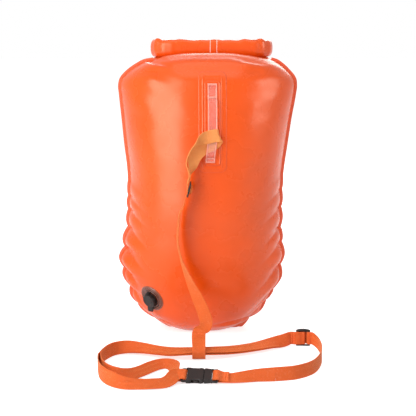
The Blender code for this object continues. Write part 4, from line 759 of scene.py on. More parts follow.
@dataclass(frozen=True)
class Bag:
    """The inflated bag: two puckered panels and the flat liners between them."""

    height: float = 0.441
    half_width: float = 0.14
    half_depth: float = 0.1
    lean: float = 0.012
    weld_half: float = 0.00145
    weld_width: float = 0.0045
    weld_shares: tuple[float, ...] = (0.08, 0.5, 0.92, 1.0)
    weld_edge_share: float = 0.8
    weld_onset_share: float = 0.6
    wall: float = 0.0006
    liner_gap: float = 0.00015
    liner_wall: float = 0.0004
    liner_low_share: float = 0.012
    liner_top_share: float = 0.945
    liner_inset_share: float = 0.002
    liner_columns: int = 13
    lobe_power: float = 0.72
    edge_power: float = 9.0
    round_power: float = 2.4
    swell_power: float = 0.6
    rise_power: float = 3.0
    crease_slope: float = 0.55
    crease_reach: float = 0.0085
    puff_share: float = 0.8
    puff_floor_share: float = 0.42
    tilt_share: float = 0.16
    tilt_degrees: float = 62.0
    calm_low_share: float = 0.035
    calm_top_share: float = 0.985
    calm_side_share: float = 0.02
    columns: int = 150
    low_rows: int = 36
    middle_rows: int = 210
    high_rows: int = 50
    low_share: float = 0.06
    high_share: float = 0.93
    quiet_radius: float = 0.031
    quiet_shares: Pair = (0.8, 1.5)
    valve_spot: Pair = (-0.7, 0.178)
    patch_spot_right: float = 0.0062
    patch_spot_share: float = 0.785
    patch_quiet: Pair = (0.026, 0.082)

    def rows(self) -> Array:
        """Return the shares of the way up of the grid's rows, closest at the base and shoulder."""
        turn = np.linspace(0, math.pi / 2, self.high_rows)
        return np.unique(np.concatenate([np.linspace(0, self.low_share, self.low_rows),
                                         np.linspace(self.low_share, self.high_share, self.middle_rows),
                                         self.high_share + (1 - self.high_share) * np.sin(turn)]))

    def valley_count(self, shares: Array, left: Array) -> tuple[Array, Array]:
        """Count how many valleys lie below a place, and read the lobe there.

        Args:
            shares: Shares of the way up.
            left: Whether each place is on the left side.

        Returns:
            The lobe's rise, from 0 at a valley to 1 between two, and its swell in metres.
        """
        rises, swells = [], []
        for valleys, lobes in LOBE_TABLES:
            count = np.interp(shares, valleys, np.arange(len(valleys)))
            rises.append(np.abs(np.sin(math.pi * count)) ** self.lobe_power)
            middles = (np.array(valleys[1:]) + np.array(valleys[:-1])) / 2
            swells.append(np.interp(shares, middles, lobes) * self.half_width)
        return np.where(left, rises[1], rises[0]), np.where(left, swells[1], swells[0])

    def surface(self, sides: Array, shares: Array, facing: int, lobes: bool = False) -> Array:
        """Work out the smooth panel.

        A row's middle follows the profile and its ends lie on the welds. Between them the depth
        falls as (1 - side^2.4)^0.6, and the height as 1 - side^3. Lobes push the ends outwards.

        Args:
            sides: Shares across, -1 at the left weld and 1 at the right.
            shares: Shares of the way up.
            facing: -1 for the front panel, 1 for the back.
            lobes: Whether the welds swell between their valleys.

        Returns:
            Grid of places.
        """
        sides, shares = np.broadcast_arrays(np.asarray(sides, dtype=float), np.asarray(shares, dtype=float))
        edge = smooth_read(EDGE_SHARES, shares)
        profile = smooth_read(FRONT_PROFILE_SHARES if facing < 0 else BACK_PROFILE_SHARES, shares)
        left_reach, right_reach = (edge[..., side] * self.half_width - self.weld_width for side in (0, 1))
        edge_up = edge[..., 2] * self.height
        reach = np.abs(sides)
        swell = np.maximum(1 - np.minimum(reach, 1) ** self.round_power, 0) ** self.swell_power
        depth = self.weld_half + (profile[..., 0] * self.half_depth - self.weld_half) * swell
        up = edge_up + (profile[..., 1] * self.height - edge_up) * (1 - reach ** self.rise_power)
        right = (right_reach - left_reach) / 2 + (right_reach + left_reach) / 2 * sides
        if lobes:
            rise, bulge = self.valley_count(shares, sides < 0)
            tilt = np.clip(1 - shares / self.tilt_share, 0, 1) * math.radians(self.tilt_degrees)
            push = rise * bulge * reach ** self.edge_power
            right = right + np.sign(sides) * push * np.cos(tilt)
            up = up - push * np.sin(tilt)
        up = np.maximum(up, 0)
        return np.stack([right + self.lean * (up / self.height) ** 2, facing * depth, up], axis=-1)

    def normals(self, sides: Array, shares: Array, facing: int,
                step: float = SLOPE_STEP_SHARE) -> Array:
        """Return the outward directions of the smooth panel, the cross product of its two slopes."""
        sides = np.clip(sides, step - 1, 1 - 2 * step)
        shares = np.clip(shares, 0, 1 - step)
        here = self.surface(sides, shares, facing)
        across = self.surface(sides + step, shares, facing) - here
        upward = self.surface(sides, shares + step, facing) - here
        return unit(np.cross(across, upward)) * -facing

    def spot(self, side: float, share: float, facing: int) -> Matrix:
        """Return a frame on a panel: right, up and outwards."""
        point = self.surface(side, share, facing)
        normal = self.normals(side, share, facing)
        right = unit(np.cross((0, 0, 1), normal))
        return frame_of(point, right, np.cross(normal, right), normal)

    def lay(self, side: float, share: float, facing: int, rights: Array, ups: Array,
            step: float = SLOPE_STEP_SHARE, rounds: int = 8) -> tuple[Array, Array]:
        """Find the places at given distances from a spot, by Newton's method.

        Args:
            side: Share across of the spot.
            share: Share of the way up of the spot.
            facing: -1 for the front panel, 1 for the back.
            rights: Distances to the right of the spot.
            ups: Distances up from the spot.
            step: Share by which the slopes are measured.
            rounds: Number of corrections.

        Returns:
            Places on the smooth panel and its outward directions there.
        """
        place = np.array(self.spot(side, share, facing))
        sides = np.full(rights.shape, float(side))
        shares = np.full(rights.shape, float(share))
        for _ in range(rounds):
            here = self.surface(sides, shares, facing)
            slopes = [(self.surface(sides + step, shares, facing) - here) / step,
                      (self.surface(sides, shares + step, facing) - here) / step]
            off = here - place[:3, 3]
            matrix = np.stack([np.stack([slope @ place[:3, axis] for slope in slopes], axis=-1)
                               for axis in (0, 1)], axis=-2)
            miss = np.stack([rights - off @ place[:3, 0], ups - off @ place[:3, 1]], axis=-1)
            change = np.linalg.solve(matrix, miss[..., None])[..., 0]
            sides, shares = sides + change[..., 0], shares + change[..., 1]
        return self.surface(sides, shares, facing), self.normals(sides, shares, facing)

    def patch_spot(self) -> Pair:
        """Return the shares across and of the way up of the strap patch."""
        edge = smooth_read(EDGE_SHARES, self.patch_spot_share) * self.half_width - self.weld_width
        side = (self.patch_spot_right - (edge[1] - edge[0]) / 2) / ((edge[0] + edge[1]) / 2)
        return float(side), self.patch_spot_share

    def strap_frame(self) -> Matrix:
        """Return the frame at the middle of the strap patch."""
        return self.spot(*self.patch_spot(), -1)

    def quiet(self, points: Array, facing: int) -> Array:
        """Return 0 where a welded piece needs the smooth panel, and 1 away from it."""
        place = np.array(self.spot(*self.valve_spot, facing).translation)
        distance = np.linalg.norm(points - place, axis=-1)
        calm = smooth_step(distance, *(self.quiet_radius * share for share in self.quiet_shares))
        if facing < 0:
            strap = np.array(self.strap_frame().inverted())
            seen = np.abs(points @ strap[:3, :3].T + strap[:3, 3])
            off = (seen[..., :2] - self.patch_quiet).max(axis=-1)
            calm = calm * smooth_step(off, 0, self.patch_quiet[0])
        return calm

    def puff(self, sides: Array, shares: Array) -> Array:
        """Work out how the sheet swells beside the welds.

        Lobes run inwards and down from the weld, with sharp creases between them. The swell is
        the lobe's rise less a part, times distance over reach times exp of one less that ratio.

        Args:
            sides: Shares across.
            shares: Shares of the way up.

        Returns:
            Distances outwards.
        """
        inward = (1 - np.abs(sides)) * self.half_width
        lifted = shares + self.crease_slope * inward / self.height
        rise, bulge = self.valley_count(lifted, sides < 0)
        ratio = inward / self.crease_reach
        return self.puff_share * bulge * (rise - self.puff_floor_share) * ratio * np.exp(1 - ratio)

    def panel(self, facing: int) -> tuple[Array, Array, Array]:
        """Work out a panel with its creases and weld.

        Args:
            facing: -1 for the front panel, 1 for the back.

        Returns:
            Grids of outer places, inward directions and how far each place belongs to the weld.
        """
        sides, shares = np.meshgrid(crowded(self.columns + 1), self.rows())
        points = self.surface(sides, shares, facing, lobes=True)
        normals = self.normals(sides, shares, facing)
        press = self.puff(sides, shares)
        for row in FRONT_FOLDS if facing < 0 else BACK_FOLDS:
            press = press + Fold(*row).press(points[..., 0], points[..., 2])
        ends = smooth_step(shares, 0, self.calm_low_share) * (1 - smooth_step(shares, self.calm_top_share, 1))
        inner_side = smooth_step(1 - np.abs(sides), 0, self.calm_side_share)
        points = points + normals * (press * self.quiet(points, facing) * ends * inner_side)[..., None]
        points[..., 2] = np.maximum(points[..., 2], 0)
        inward = -normals
        inward[:, [0, -1]] = (0, -facing, 0)
        inward[0, 1:-1] = (0, 0, 1)
        inward[0, [0, -1]] = unit((0, -facing, 1))
        return self.with_weld(points, inward, facing)

    def with_weld(self, points: Array, inward: Array, facing: int) -> tuple:
        """Add the flat weld outside both ends of each row.

        Args:
            points: Grid of places of the panel.
            inward: Grid of directions into the bag.
            facing: -1 for the front panel, 1 for the back.

        Returns:
            Grids of places, inward directions and shares of weld.
        """
        grids = [points, inward, np.zeros(points.shape[:2])]
        for column, sign in ((0, -1), (-1, 1)):
            root = points[:, column]
            along = unit(np.gradient(root, axis=0) * (1, 0, 1))
            outward = np.stack([along[:, 2], np.zeros(len(root)), -along[:, 0]], axis=-1) * sign
            outward[0] = (sign, 0, 0)
            band = [root + outward * self.weld_width * share for share in self.weld_shares]
            for place in band:
                place[:, 2] = np.maximum(place[:, 2], 0)
                place[:, 1] = facing * self.weld_half
            band[-1][:, 1] *= self.weld_edge_share
            flat = np.tile((0.0, -facing, 0.0), (len(root), 1))
            flat[0] = unit((0, -facing, 1))
            weld = np.ones((len(root), len(band)))
            weld[:, 0] = self.weld_onset_share
            strips = (np.stack(band, axis=1), np.stack([flat] * len(band), axis=1), weld)
            for index, strip in enumerate(strips):
                pair = (strip[:, ::-1], grids[index]) if sign < 0 else (grids[index], strip)
                grids[index] = np.concatenate(pair, axis=1)
        return tuple(grids)

    def build_panel(self, word: str, facing: int, material: Finish, valve: "Valve") -> None:
        """Make one panel, with the opening for its valve."""
        outer, inward, weld = self.panel(facing)
        piece = shell_piece("bag_" + word, outer, outer + inward * self.wall, material, {"weld": weld})
        valve.open_panel(piece)
        dress(piece, Slot.SHEET, word + "_panel")
        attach(piece, "bag")

    def build_liner(self, word: str, facing: int, material: Finish) -> None:
        """Make one flat inner sheet, out to the edge of the weld."""
        outer, _, _ = self.panel(facing)
        low, high = np.searchsorted(self.rows(), (self.liner_low_share, self.liner_top_share))
        left, right = outer[low:high, 0], outer[low:high, -1]
        share = np.linspace(self.liner_inset_share, 1 - self.liner_inset_share, self.liner_columns)
        share = share[None, :, None]
        grid = left[:, None] * (1 - share) + right[:, None] * share
        grid[..., 1] = facing * (self.liner_gap + self.liner_wall)
        back = grid.copy()
        back[..., 1] = facing * self.liner_gap
        piece = shell_piece(word + "_liner_sheet", grid, back, material)
        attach(dress(piece, Slot.LINER, word + "_liner"), "bag")

    def build(self, sheet: Finish, film: Finish, valves: dict[int, "Valve"]) -> None:
        """Make the panels and liners."""
        self.build_panel("front", -1, sheet, valves[-1])
        self.build_panel("back", 1, sheet, valves[1])
        self.build_liner("front", -1, film)
        self.build_liner("back", 1, film)


def frame_of(place: Array, first: Array, second: Array, third: Array) -> Matrix:
    """Return the frame with a place and three axes."""
    made = Matrix([Vector(axis).normalized() for axis in (first, second, third)]).transposed().to_4x4()
    made.translation = Vector(place)
    return made


def local(made: Matrix, points: list | Array) -> Array:
    """Turn places in a frame into places in the row frame."""
    matrix = np.array(made)
    return np.asarray(points, dtype=float) @ matrix[:3, :3].T + matrix[:3, 3]


def with_across(points: Array, across: Array | tuple) -> Array:
    """Join places and across directions into rows."""
    points = np.asarray(points, dtype=float)
    return np.column_stack([points, np.broadcast_to(np.asarray(across, dtype=float), points.shape)])


# Rolled mouth

@dataclass(frozen=True)
class RolledMouth:
    """The mouth of the bag, wound up and bent round to the back."""

    height: float = 0.031
    top: float = 0.4755
    turns: float = 2.5
    pitch: float = 0.0024
    sheet_wall: float = 0.0012
    core_half: float = 0.0019
    straight_half: float = 0.0645
    bend_radius: float = 0.028
    lean: float = 0.012
    slot_up: float = 0.437
    tail_below: float = 0.0018
    bump: float = 0.003
    bump_rows: tuple[Place, ...] = (
        (-0.088, 0.007, 1.0), (0.08, 0.006, 0.8), (-0.052, 0.005, 0.4), (0.052, 0.005, 0.4))
    wave_rows: tuple[Place, ...] = ((0.0005, 110.0, 1.0), (0.0004, 260.0, 0.0))
    sway_share: float = 0.05
    sway_rate: float = 75.0
    sway_start: float = 0.4
    crinkle: float = 0.0004
    crinkle_rate: float = 480.0
    crinkle_shares: Pair = (0.7, 1.2)
    flatness: float = 0.8
    bend_start_share: float = 0.8
    bend_hang: float = 0.0066
    bend_drift: float = 0.006
    bend_reach: Pair = (0.04, 0.05)
    points_per_turn: int = 26
    stations: int = 150

    def path(self) -> Array:
        """Return stations along the roll: right, back and heading angle.

        The roll is straight in front, then both ends turn back in half circles.
        """
        length = self.straight_half + math.pi * self.bend_radius
        run = np.linspace(-length, length, self.stations)
        over = np.maximum(np.abs(run) - self.straight_half, 0)
        angle = over / self.bend_radius
        level = np.minimum(np.abs(run), self.straight_half)
        right = np.sign(run) * (level + self.bend_radius * np.sin(angle))
        back = self.bend_radius * (1 - np.cos(angle))
        return np.stack([right, back, np.sign(run) * angle, run], axis=-1)

    def section(self, hang: float, drift: float) -> Array:
        """Return the wound sheet's section: a flattened spiral with its tail hanging down and out."""
        middle = self.height / 2 - self.sheet_wall / 2
        count = int(self.turns * self.points_per_turn)
        angle = np.arange(count + 1) * 2 * math.pi / self.points_per_turn
        angle = angle - angle[-1] + 3 * math.pi / 2
        growth = self.pitch * (np.arange(count + 1) / self.points_per_turn - self.turns)
        half = self.core_half + self.pitch * self.turns
        flat = np.sign(np.sin(angle)) * np.abs(np.sin(angle)) ** self.flatness
        line = np.stack([(half + growth) * np.cos(angle), (middle + growth) * flat], axis=-1)
        line = np.concatenate([line, [(drift / 2, -middle - self.tail_below), (drift, -middle - hang)]])
        along = unit(np.gradient(line, axis=0))
        side = np.stack([-along[:, 1], along[:, 0]], axis=-1) * self.sheet_wall / 2
        return np.concatenate([line + side, (line - side)[::-1]])

    def build(self, material: Finish) -> None:
        """Make the roll.

        Each ring is the section at a station. Its height swells by bumps, each a row of place,
        reach and share, and by waves, each a row of height, rate and start. Its face sways
        slowly along the run and crinkles in the bends.

        Args:
            material: Finish of the rolled sheet.
        """
        long_hang = self.top - self.height + self.sheet_wall / 2 - self.slot_up - self.tail_below
        hangs = [long_hang, self.bend_hang, self.bend_hang, self.tail_below * 2]
        half = self.straight_half
        far = [half * self.bend_start_share, half] + [half + off for off in self.bend_reach]
        curls = [half * share for share in self.crinkle_shares]
        rings = []
        for right, back, angle, run in self.path():
            drift = self.bend_drift * np.interp(abs(run), far, (0, 0, 1, 1))
            section = self.section(np.interp(abs(run), far, hangs), drift)
            swell = sum(self.bump * share * math.exp(-((run - place) / width) ** 2)
                        for place, width, share in self.bump_rows)
            swell += sum(rise * math.sin(run * rate + start) for rise, rate, start in self.wave_rows)
            taller = section[:, 1] * (1 + swell / self.height * 2)
            lift = np.where(section[:, 1] > 0, taller, section[:, 1])
            curled = smooth_step(abs(run), *curls)
            reach = section[:, 0] * (1 + self.sway_share * math.sin(run * self.sway_rate + self.sway_start))
            crinkle = self.crinkle * curled * math.sin(run * self.crinkle_rate)
            reach = reach + np.sign(section[:, 0]) * crinkle
            out = np.array([math.sin(angle), -math.cos(angle), 0])
            place = np.array([right + self.lean, back, self.top - self.height / 2])
            rings.append(place + reach[:, None] * out + lift[:, None] * (0, 0, 1))
        rings = np.array(rings)
        count, size = rings.shape[:2]
        faces = grid_quads(count, size, wrap=True).tolist()
        for start in (0, (count - 1) * size):
            last = start + size - 1
            faces += [[start + corner, start + corner + 1, last - corner - 1, last - corner]
                      for corner in range(size // 2 - 1)]
        piece = make_piece("roll_wound_mouth", rings.reshape(-1, 3), faces, material)
        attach(dress(piece, Slot.NECK, "rolled_neck"), "bag")


# Patch and clear strap

@dataclass(frozen=True)
class StrapPatch:
    """Welded patch, the narrower sheet on it, and the clear strap that the leash is looped round."""

    bag: Bag
    width: float = 0.043
    length: float = 0.1565
    corner: float = 0.01
    raised: float = 0.0022
    wall: float = 0.0008
    gap: float = 0.0003
    line_width: float = 0.0008
    line_rise: float = 0.0006
    rim_reflection_share: float = 0.75
    rim_reach_share: float = 1.5
    edge_share: float = 0.35
    outer_line_gap: float = 0.0022
    inner_line_inset: float = 0.0016
    corner_steps: int = 12
    sheet_rows: int = 170
    sheet_columns: int = 61
    sheet_width: float = 0.025
    sheet_length: float = 0.13
    strap_width: float = 0.0146
    strap_wall: float = 0.0016
    bead: float = 0.002
    strap_length: float = 0.121
    strap_film: float = 0.0008
    strap_step: float = 0.0012
    weld_bar: float = 0.0026
    low_pull: float = 0.0036
    top_weld: float = 0.022
    low_weld: float = 0.006
    bend: float = 0.006
    lift: float = 0.0069
    low_steps: int = 5
    top_steps: int = 9
    bend_steps: int = 12
    free_steps: int = 30
    bar_steps: int = 9

    def build_sheet(self, name: str, node: str, width: float, length: float, corner: float, lift: float,
                    material: Finish, line_inset: float, raised: float) -> None:
        """Make one welded sheet.

        The sheet's height over the panel eases up from its border, and a raised line runs round it
        at a distance inside the border.

        Args:
            name: Name of the piece.
            node: Solid that it stands for.
            width: Width of the sheet.
            length: Length of the sheet.
            corner: Radius of its corners.
            lift: Height of its underside.
            material: Finish of the sheet.
            line_inset: Distance of the raised line from the border.
            raised: How far the sheet's middle lies above that of the strap.
        """
        turn = np.linspace(0, math.pi / 2, self.corner_steps)
        ends = length / 2 - corner + corner * np.sin(turn)
        halves = width / 2 - corner + corner * np.cos(turn)
        middle = np.linspace(-1, 1, self.sheet_rows) * ends[0]
        ups = np.concatenate([-ends[:0:-1], middle, ends[1:]])
        widths = np.concatenate([halves[:0:-1], np.full(len(middle), width / 2), halves[1:]])
        rights = widths[:, None] * crowded(self.sheet_columns)[None, :]
        tall = np.broadcast_to(ups[:, None], rights.shape)
        inner = np.stack([np.abs(rights) - width / 2 + corner, np.abs(tall) - length / 2 + corner], axis=-1)
        inset = corner - np.linalg.norm(np.maximum(inner, 0), axis=-1) - np.minimum(inner.max(axis=-1), 0)
        rise = self.wall * (self.edge_share + (1 - self.edge_share) * smooth_step(inset, 0, self.wall))
        rise = rise + self.line_rise * np.exp(-((inset - line_inset) / self.line_width) ** 2)
        surface, normals = self.bag.lay(*self.bag.patch_spot(), -1, rights, tall + raised)
        # Painted reflection: the border takes the welds' pinker tone through the weld mark
        rim = self.rim_reflection_share * (1 - smooth_step(inset, 0, self.wall * self.rim_reach_share))
        piece = shell_piece(name, surface + normals * (lift + rise)[..., None], surface + normals * lift,
                            material, {"weld": rim})
        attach(dress(piece, Slot.SHEET, node), "bag")

    def build_strap(self, clear: Finish, pale_highlight: Finish) -> None:
        """Make the clear strap: a film between two beads, its ends welded down, its middle standing off.

        Args:
            clear: Finish of the film.
            pale_highlight: Finish of the beads and of the bars at the welds, whitish as a painted highlight.
        """
        half = self.strap_length / 2
        top, low = half - self.top_weld, half - self.low_weld
        seat = 2 * (self.gap + self.wall) + self.gap + self.bead / 2
        ups = np.concatenate([np.linspace(-half, -low, self.low_steps),
                              np.linspace(top, half, self.top_steps)])
        surface, normals = self.bag.lay(*self.bag.patch_spot(), -1, ups * 0, ups)
        welds = surface + normals * seat
        place = self.bag.strap_frame()
        out = local(place.inverted(), welds)[:, 2]
        share = np.linspace(0, 1, self.bend_steps)[1:]
        ease = smooth_step(share, 0, 1)
        bends = [np.stack([run * 0, run, start + (self.lift - start) * ease], axis=-1)
                 for run, start in ((self.bend * share - low, out[self.low_steps - 1]),
                                    (top - self.bend * share, out[self.low_steps]))]
        run = np.linspace(2 * self.bend - low, top - 2 * self.bend, self.free_steps)
        free = np.stack([run * 0, run, np.full(len(run), self.lift)], axis=-1)
        line = np.concatenate([bends[0], free, bends[1][::-1]])
        centres = np.concatenate([welds[:self.low_steps], local(place, line), welds[self.low_steps:]])
        rows = smooth_line(with_across(centres, place.col[0][:3]), self.strap_step)
        below = -local(place.inverted(), rows[:, :3])[:, 1]
        pull = self.low_pull * smooth_step(below, self.bend * 3, half)
        rows[:, :3] -= pull[:, None] * np.array(place.col[0][:3])
        face = slab_section(self.strap_width - self.bead, self.strap_film)
        piece = carry_section("strap_clear", rows, face, clear)
        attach(dress(piece, Slot.CLEAR, "clear_strap"), "bag")
        for name, side in (("left", -1), ("right", 1)):
            aside = side * (self.strap_width - self.bead) / 2
            section = oval_section(self.bead, self.bead, aside=aside)
            bead = carry_section("strap_bead_" + name, rows, section, pale_highlight)
            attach(dress(bead, Slot.CLEAR), "bag")
        self.build_ends(rows, pale_highlight)

    def build_ends(self, rows: Array, pale_highlight: Finish) -> None:
        """Make the thick cross bars where the strap's welds end and begin, whitish as painted highlights at
        the bends.

        Args:
            rows: Rows of place and across direction of the strap.
            pale_highlight: Finish of the bars, whitish as a painted highlight.
        """
        run = np.arange(len(rows)) * self.strap_step
        last = len(rows) - 1
        for name, off in (("low_end", self.strap_step), ("low_weld", self.low_weld),
                          ("top_weld", run[last] - self.top_weld), ("top_end", run[last] - self.strap_step)):
            index = int(np.searchsorted(run, off))
            heading = unit(rows[min(index + 1, last), :3] - rows[index - 1, :3])
            across = unit(rows[index, 3:6])
            reach = np.linspace(-0.5, 0.5, self.bar_steps)[:, None] * (self.strap_width - self.bead)
            points = rows[index, :3] + across * reach
            bar = carry_section("strap_bar_" + name, with_across(points, heading),
                                oval_section(self.weld_bar, self.strap_wall), pale_highlight)
            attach(dress(bar, Slot.CLEAR), "bag")

    def build(self, sheet: Finish, clear: Finish, pale_highlight: Finish) -> None:
        """Make the patch, the sheet on it and the strap."""
        self.build_sheet("patch_outer", "strap_patch", self.width, self.length, self.corner, self.gap, sheet,
                         (self.width - self.sheet_width) / 2 - self.outer_line_gap, self.raised)
        self.build_sheet("patch_inner", "strap_base_sheet", self.sheet_width, self.sheet_length,
                         self.corner / 2, 2 * self.gap + self.wall, sheet, self.inner_line_inset, 0)
        self.build_strap(clear, pale_highlight)


# Valves

@dataclass(frozen=True)
class Valve:
    """Inflation valve of one chamber."""

    bag: Bag
    facing: int
    word: str
    flange_radius: float = 0.0225
    flange_wall: float = 0.001
    flange_rows: int = 44
    thin_share: float = 0.55
    thin_reach: float = 0.002
    rim_reach: float = 0.003
    collar_radius: float = 0.0098
    collar_bore: float = 0.0072
    opening_depth: float = 0.03
    opening_sides: int = 48
    gap: float = 0.0003
    ridge_places: tuple[float, ...] = (0.014, 0.0172, 0.0205)
    ridge_rise: float = 0.0007
    ridge_half: float = 0.0007
    groove_shade_places: tuple[float, ...] = (0.0126, 0.0156)
    groove_shade_half: float = 0.0007
    segments: int = 72
    grip_width: float = 0.0122
    grip_wall: float = 0.0016
    grip_narrow_share: float = 0.45
    grip_full_share: float = 0.7
    grip_line: tuple[Pair, ...] = (
        (-0.0085, 0.0076), (-0.0115, 0.0079), (-0.0155, 0.0088), (-0.019, 0.0102))
    ring_radius: float = 0.0076
    ring_size: float = 0.0009
    ring_out: float = 0.0089
    ring_sides: int = 8

    def place(self) -> Matrix:
        """Return the valve's frame: right, up and outwards."""
        return self.bag.spot(*self.bag.valve_spot, self.facing)

    def open_panel(self, panel: Piece) -> None:
        """Cut the round opening under the collar."""
        shape = bmesh.new()
        radius = (self.collar_radius + self.collar_bore) / 2
        bmesh.ops.create_cone(shape, cap_ends=True, segments=self.opening_sides, radius1=radius,
                              radius2=radius, depth=self.opening_depth)
        bmesh.ops.transform(shape, matrix=self.place(), verts=shape.verts)
        mesh = bpy.data.meshes.new("opening")
        shape.to_mesh(mesh)
        shape.free()
        cutter = add_object("opening", mesh)
        step = panel.modifiers.new("opening", "BOOLEAN")
        step.operation = "DIFFERENCE"
        step.solver = "EXACT"
        step.object = cutter
        graph = bpy.context.evaluated_depsgraph_get()
        cut = bpy.data.meshes.new_from_object(panel.evaluated_get(graph))
        panel.modifiers.clear()
        panel.data = cut
        bpy.data.objects.remove(cutter, do_unlink=True)

    def build_flange(self, material: Finish) -> None:
        """Make the flexible flange: a disc that follows the bag, with rings, painted shade in each groove and
        a thin rim.
        """
        radius = self.flange_radius
        radii = np.linspace(self.collar_radius + self.gap, radius, self.flange_rows)
        thinned = smooth_step(radii, radius - self.thin_reach, radius)
        rise = self.flange_wall * (1 - self.thin_share * thinned)
        for ridge in self.ridge_places:
            rise = rise + self.ridge_rise * np.exp(-((radii - ridge) / self.ridge_half) ** 2)
        angle = np.linspace(0, 2 * math.pi, self.segments, endpoint=False)
        rights, ups = radii[:, None] * np.cos(angle), radii[:, None] * np.sin(angle)
        surface, normals = self.bag.lay(*self.bag.valve_spot, self.facing, rights, ups)
        top = surface + normals * (self.gap + rise)[:, None, None]
        low = surface + normals * self.gap
        rings = np.concatenate([top, low[::-1]])
        count, size = rings.shape[:2]
        last = np.arange(size) + (count - 1) * size
        following = np.roll(last, -1)
        closing = np.stack([last, following, (np.arange(size) + 1) % size, np.arange(size)], axis=-1)
        quads = np.concatenate([grid_quads(count, size, wrap=True), closing]).tolist()
        rim = np.repeat(smooth_step(radii, radius - self.rim_reach, radius), size)
        rim = np.concatenate([rim, rim[::-1]])
        # Painted shade: dark rings at each groove beside the raised rings
        groove_shades = sum(np.exp(-((radii - place) / self.groove_shade_half) ** 2) for place in self.groove_shade_places)
        groove = np.repeat(np.concatenate([groove_shades, groove_shades[::-1]]), size)
        piece = make_piece(f"valve_{self.word}_flange_disc", rings.reshape(-1, 3), quads, material, None,
                           {"rim": rim, "groove": groove})
        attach(dress(piece, Slot.SMOKED, self.word + "_valve_flange"), "bag")

    def build_grip(self, plastic: Finish) -> None:
        """Make the pull tab at the cap's rim and the raised ring on its crown."""
        place = self.place()
        line = smooth_line(with_across(local(place, [(0, up, out) for up, out in self.grip_line]),
                                       place.col[0][:3]), self.grip_wall / 2)
        share = np.linspace(0, 1, len(line))
        narrow = np.sqrt(1 - self.grip_narrow_share * smooth_step(share, self.grip_full_share, 1) ** 2)
        slab = slab_section(self.grip_width, self.grip_wall)
        grip = carry_section(f"valve_{self.word}_cap_grip", line, slab, plastic, 0.0, narrow)
        turn = np.linspace(0, 2 * math.pi, self.segments + 1)
        circle = np.stack([np.cos(turn), np.sin(turn), np.zeros(len(turn))], axis=-1)
        lifted = circle * self.ring_radius + (0, 0, self.ring_out)
        rows = np.column_stack([local(place, lifted), circle @ np.array(place.to_3x3()).T])
        section = oval_section(self.ring_size, self.ring_size, self.ring_sides)
        ring = carry_section(f"valve_{self.word}_cap_ring", rows, section, plastic)
        for piece in (grip, ring):
            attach(dress(piece, Slot.VALVE), self.word + "_valve_cap")

    def build(self, smoked: Finish, plastic: Finish, rubber: Finish) -> None:
        """Make the flange, the cap's grip, and finish the moulded pieces."""
        self.build_flange(smoked)
        self.build_grip(plastic)
        for part in ("collar", "retainer", "cap"):
            repaint(f"{self.word}_valve_{part}", plastic)
        repaint(self.word + "_valve_diaphragm", rubber)


# Sliders and buckles, as far as the webbing needs to know them

@dataclass(frozen=True)
class Hardware:
    """Sizes of the sliders and buckles, and the lines that webbing takes through them."""

    webbing_wall: float = 0.0014
    layer_pitch: float = 0.0021
    gap: float = 0.0003
    slider_length: float = 0.022
    slider_wall: float = 0.0024
    slider_bar: float = 0.003
    slider_straight: float = 0.021
    body_length: float = 0.0225
    web_end: float = 0.01
    bar: float = 0.0034
    bar_wall: float = 0.003
    nose: float = 0.006
    slot_slack: float = 0.0036
    sewn_bend_share: float = 0.7
    wrap_bend_share: float = 0.3
    slot_shares: tuple[float, ...] = (0.62, 0.98, 1.12, 1.5)

    def slider_offset(self) -> float:
        """Return the distance from a slider's plane to webbing that lies on it."""
        return self.slider_wall / 2 + self.gap + self.webbing_wall / 2 + self.gap / 2

    def sewn_line(self) -> list:
        """Return the sewn end's line round a slider's middle bar, outwards to the left."""
        over = self.slider_offset()
        beside = self.slider_bar / 2 + self.gap + self.webbing_wall / 2 + self.gap
        under = over + self.layer_pitch
        bend = beside * self.sewn_bend_share
        return [(-beside, 0, -over / 3), (-beside, 0, over / 3), (-bend, 0, over), (bend, 0, over),
                (beside, 0, over / 3), (beside, 0, -over / 3), (bend, 0, -over), (-bend, 0, -over - self.gap),
                (self.slider_bar - self.slider_length / 2, 0, -under), (-self.slider_straight, 0, -under)]

    def running_line(self, straight_right: float) -> list:
        """Return the line of the webbing that runs through a slider, from its left to its right."""
        under = self.slider_offset()
        over = under + self.layer_pitch
        slot = self.slider_length / 4 + self.slider_bar / 4
        rise, enter, leave, level = (slot * share for share in self.slot_shares)
        half = [(0, 0, over), (rise, 0, over - self.gap), (enter, 0, under / 2), (leave, 0, -under / 2),
                (level, 0, -under)]
        left = [(-along, side, out) for along, side, out in half[:0:-1]]
        return [(-self.slider_straight, 0, -under), *left, *half, (straight_right, 0, -under)]

    def bar_middle(self) -> float:
        """Return the distance of a buckle's webbing bar from its joint line."""
        return self.body_length + self.web_end - self.bar / 2 - self.nose

    def wrap_offset(self) -> float:
        """Return the distance from a buckle's plane to webbing that lies on its bar."""
        return self.slider_offset() + (self.bar_wall - self.slider_wall) / 2

    def bar_wrap(self, side: int) -> list:
        """Return the line round a buckle's bar, from its outer face through the slot to its inner."""
        offset, bar = self.wrap_offset(), self.bar_middle()
        slot = bar - self.bar / 2 - self.webbing_wall / 2 - self.slot_slack
        bend = bar - self.bar * self.wrap_bend_share
        return [(side * (bar + self.bar / 2), 0, -offset), (side * bend, 0, -offset),
                (side * slot, 0, -offset / 2), (side * slot, 0, offset / 2), (side * bend, 0, offset),
                (side * (bar + self.bar / 2), 0, offset)]


# Leash

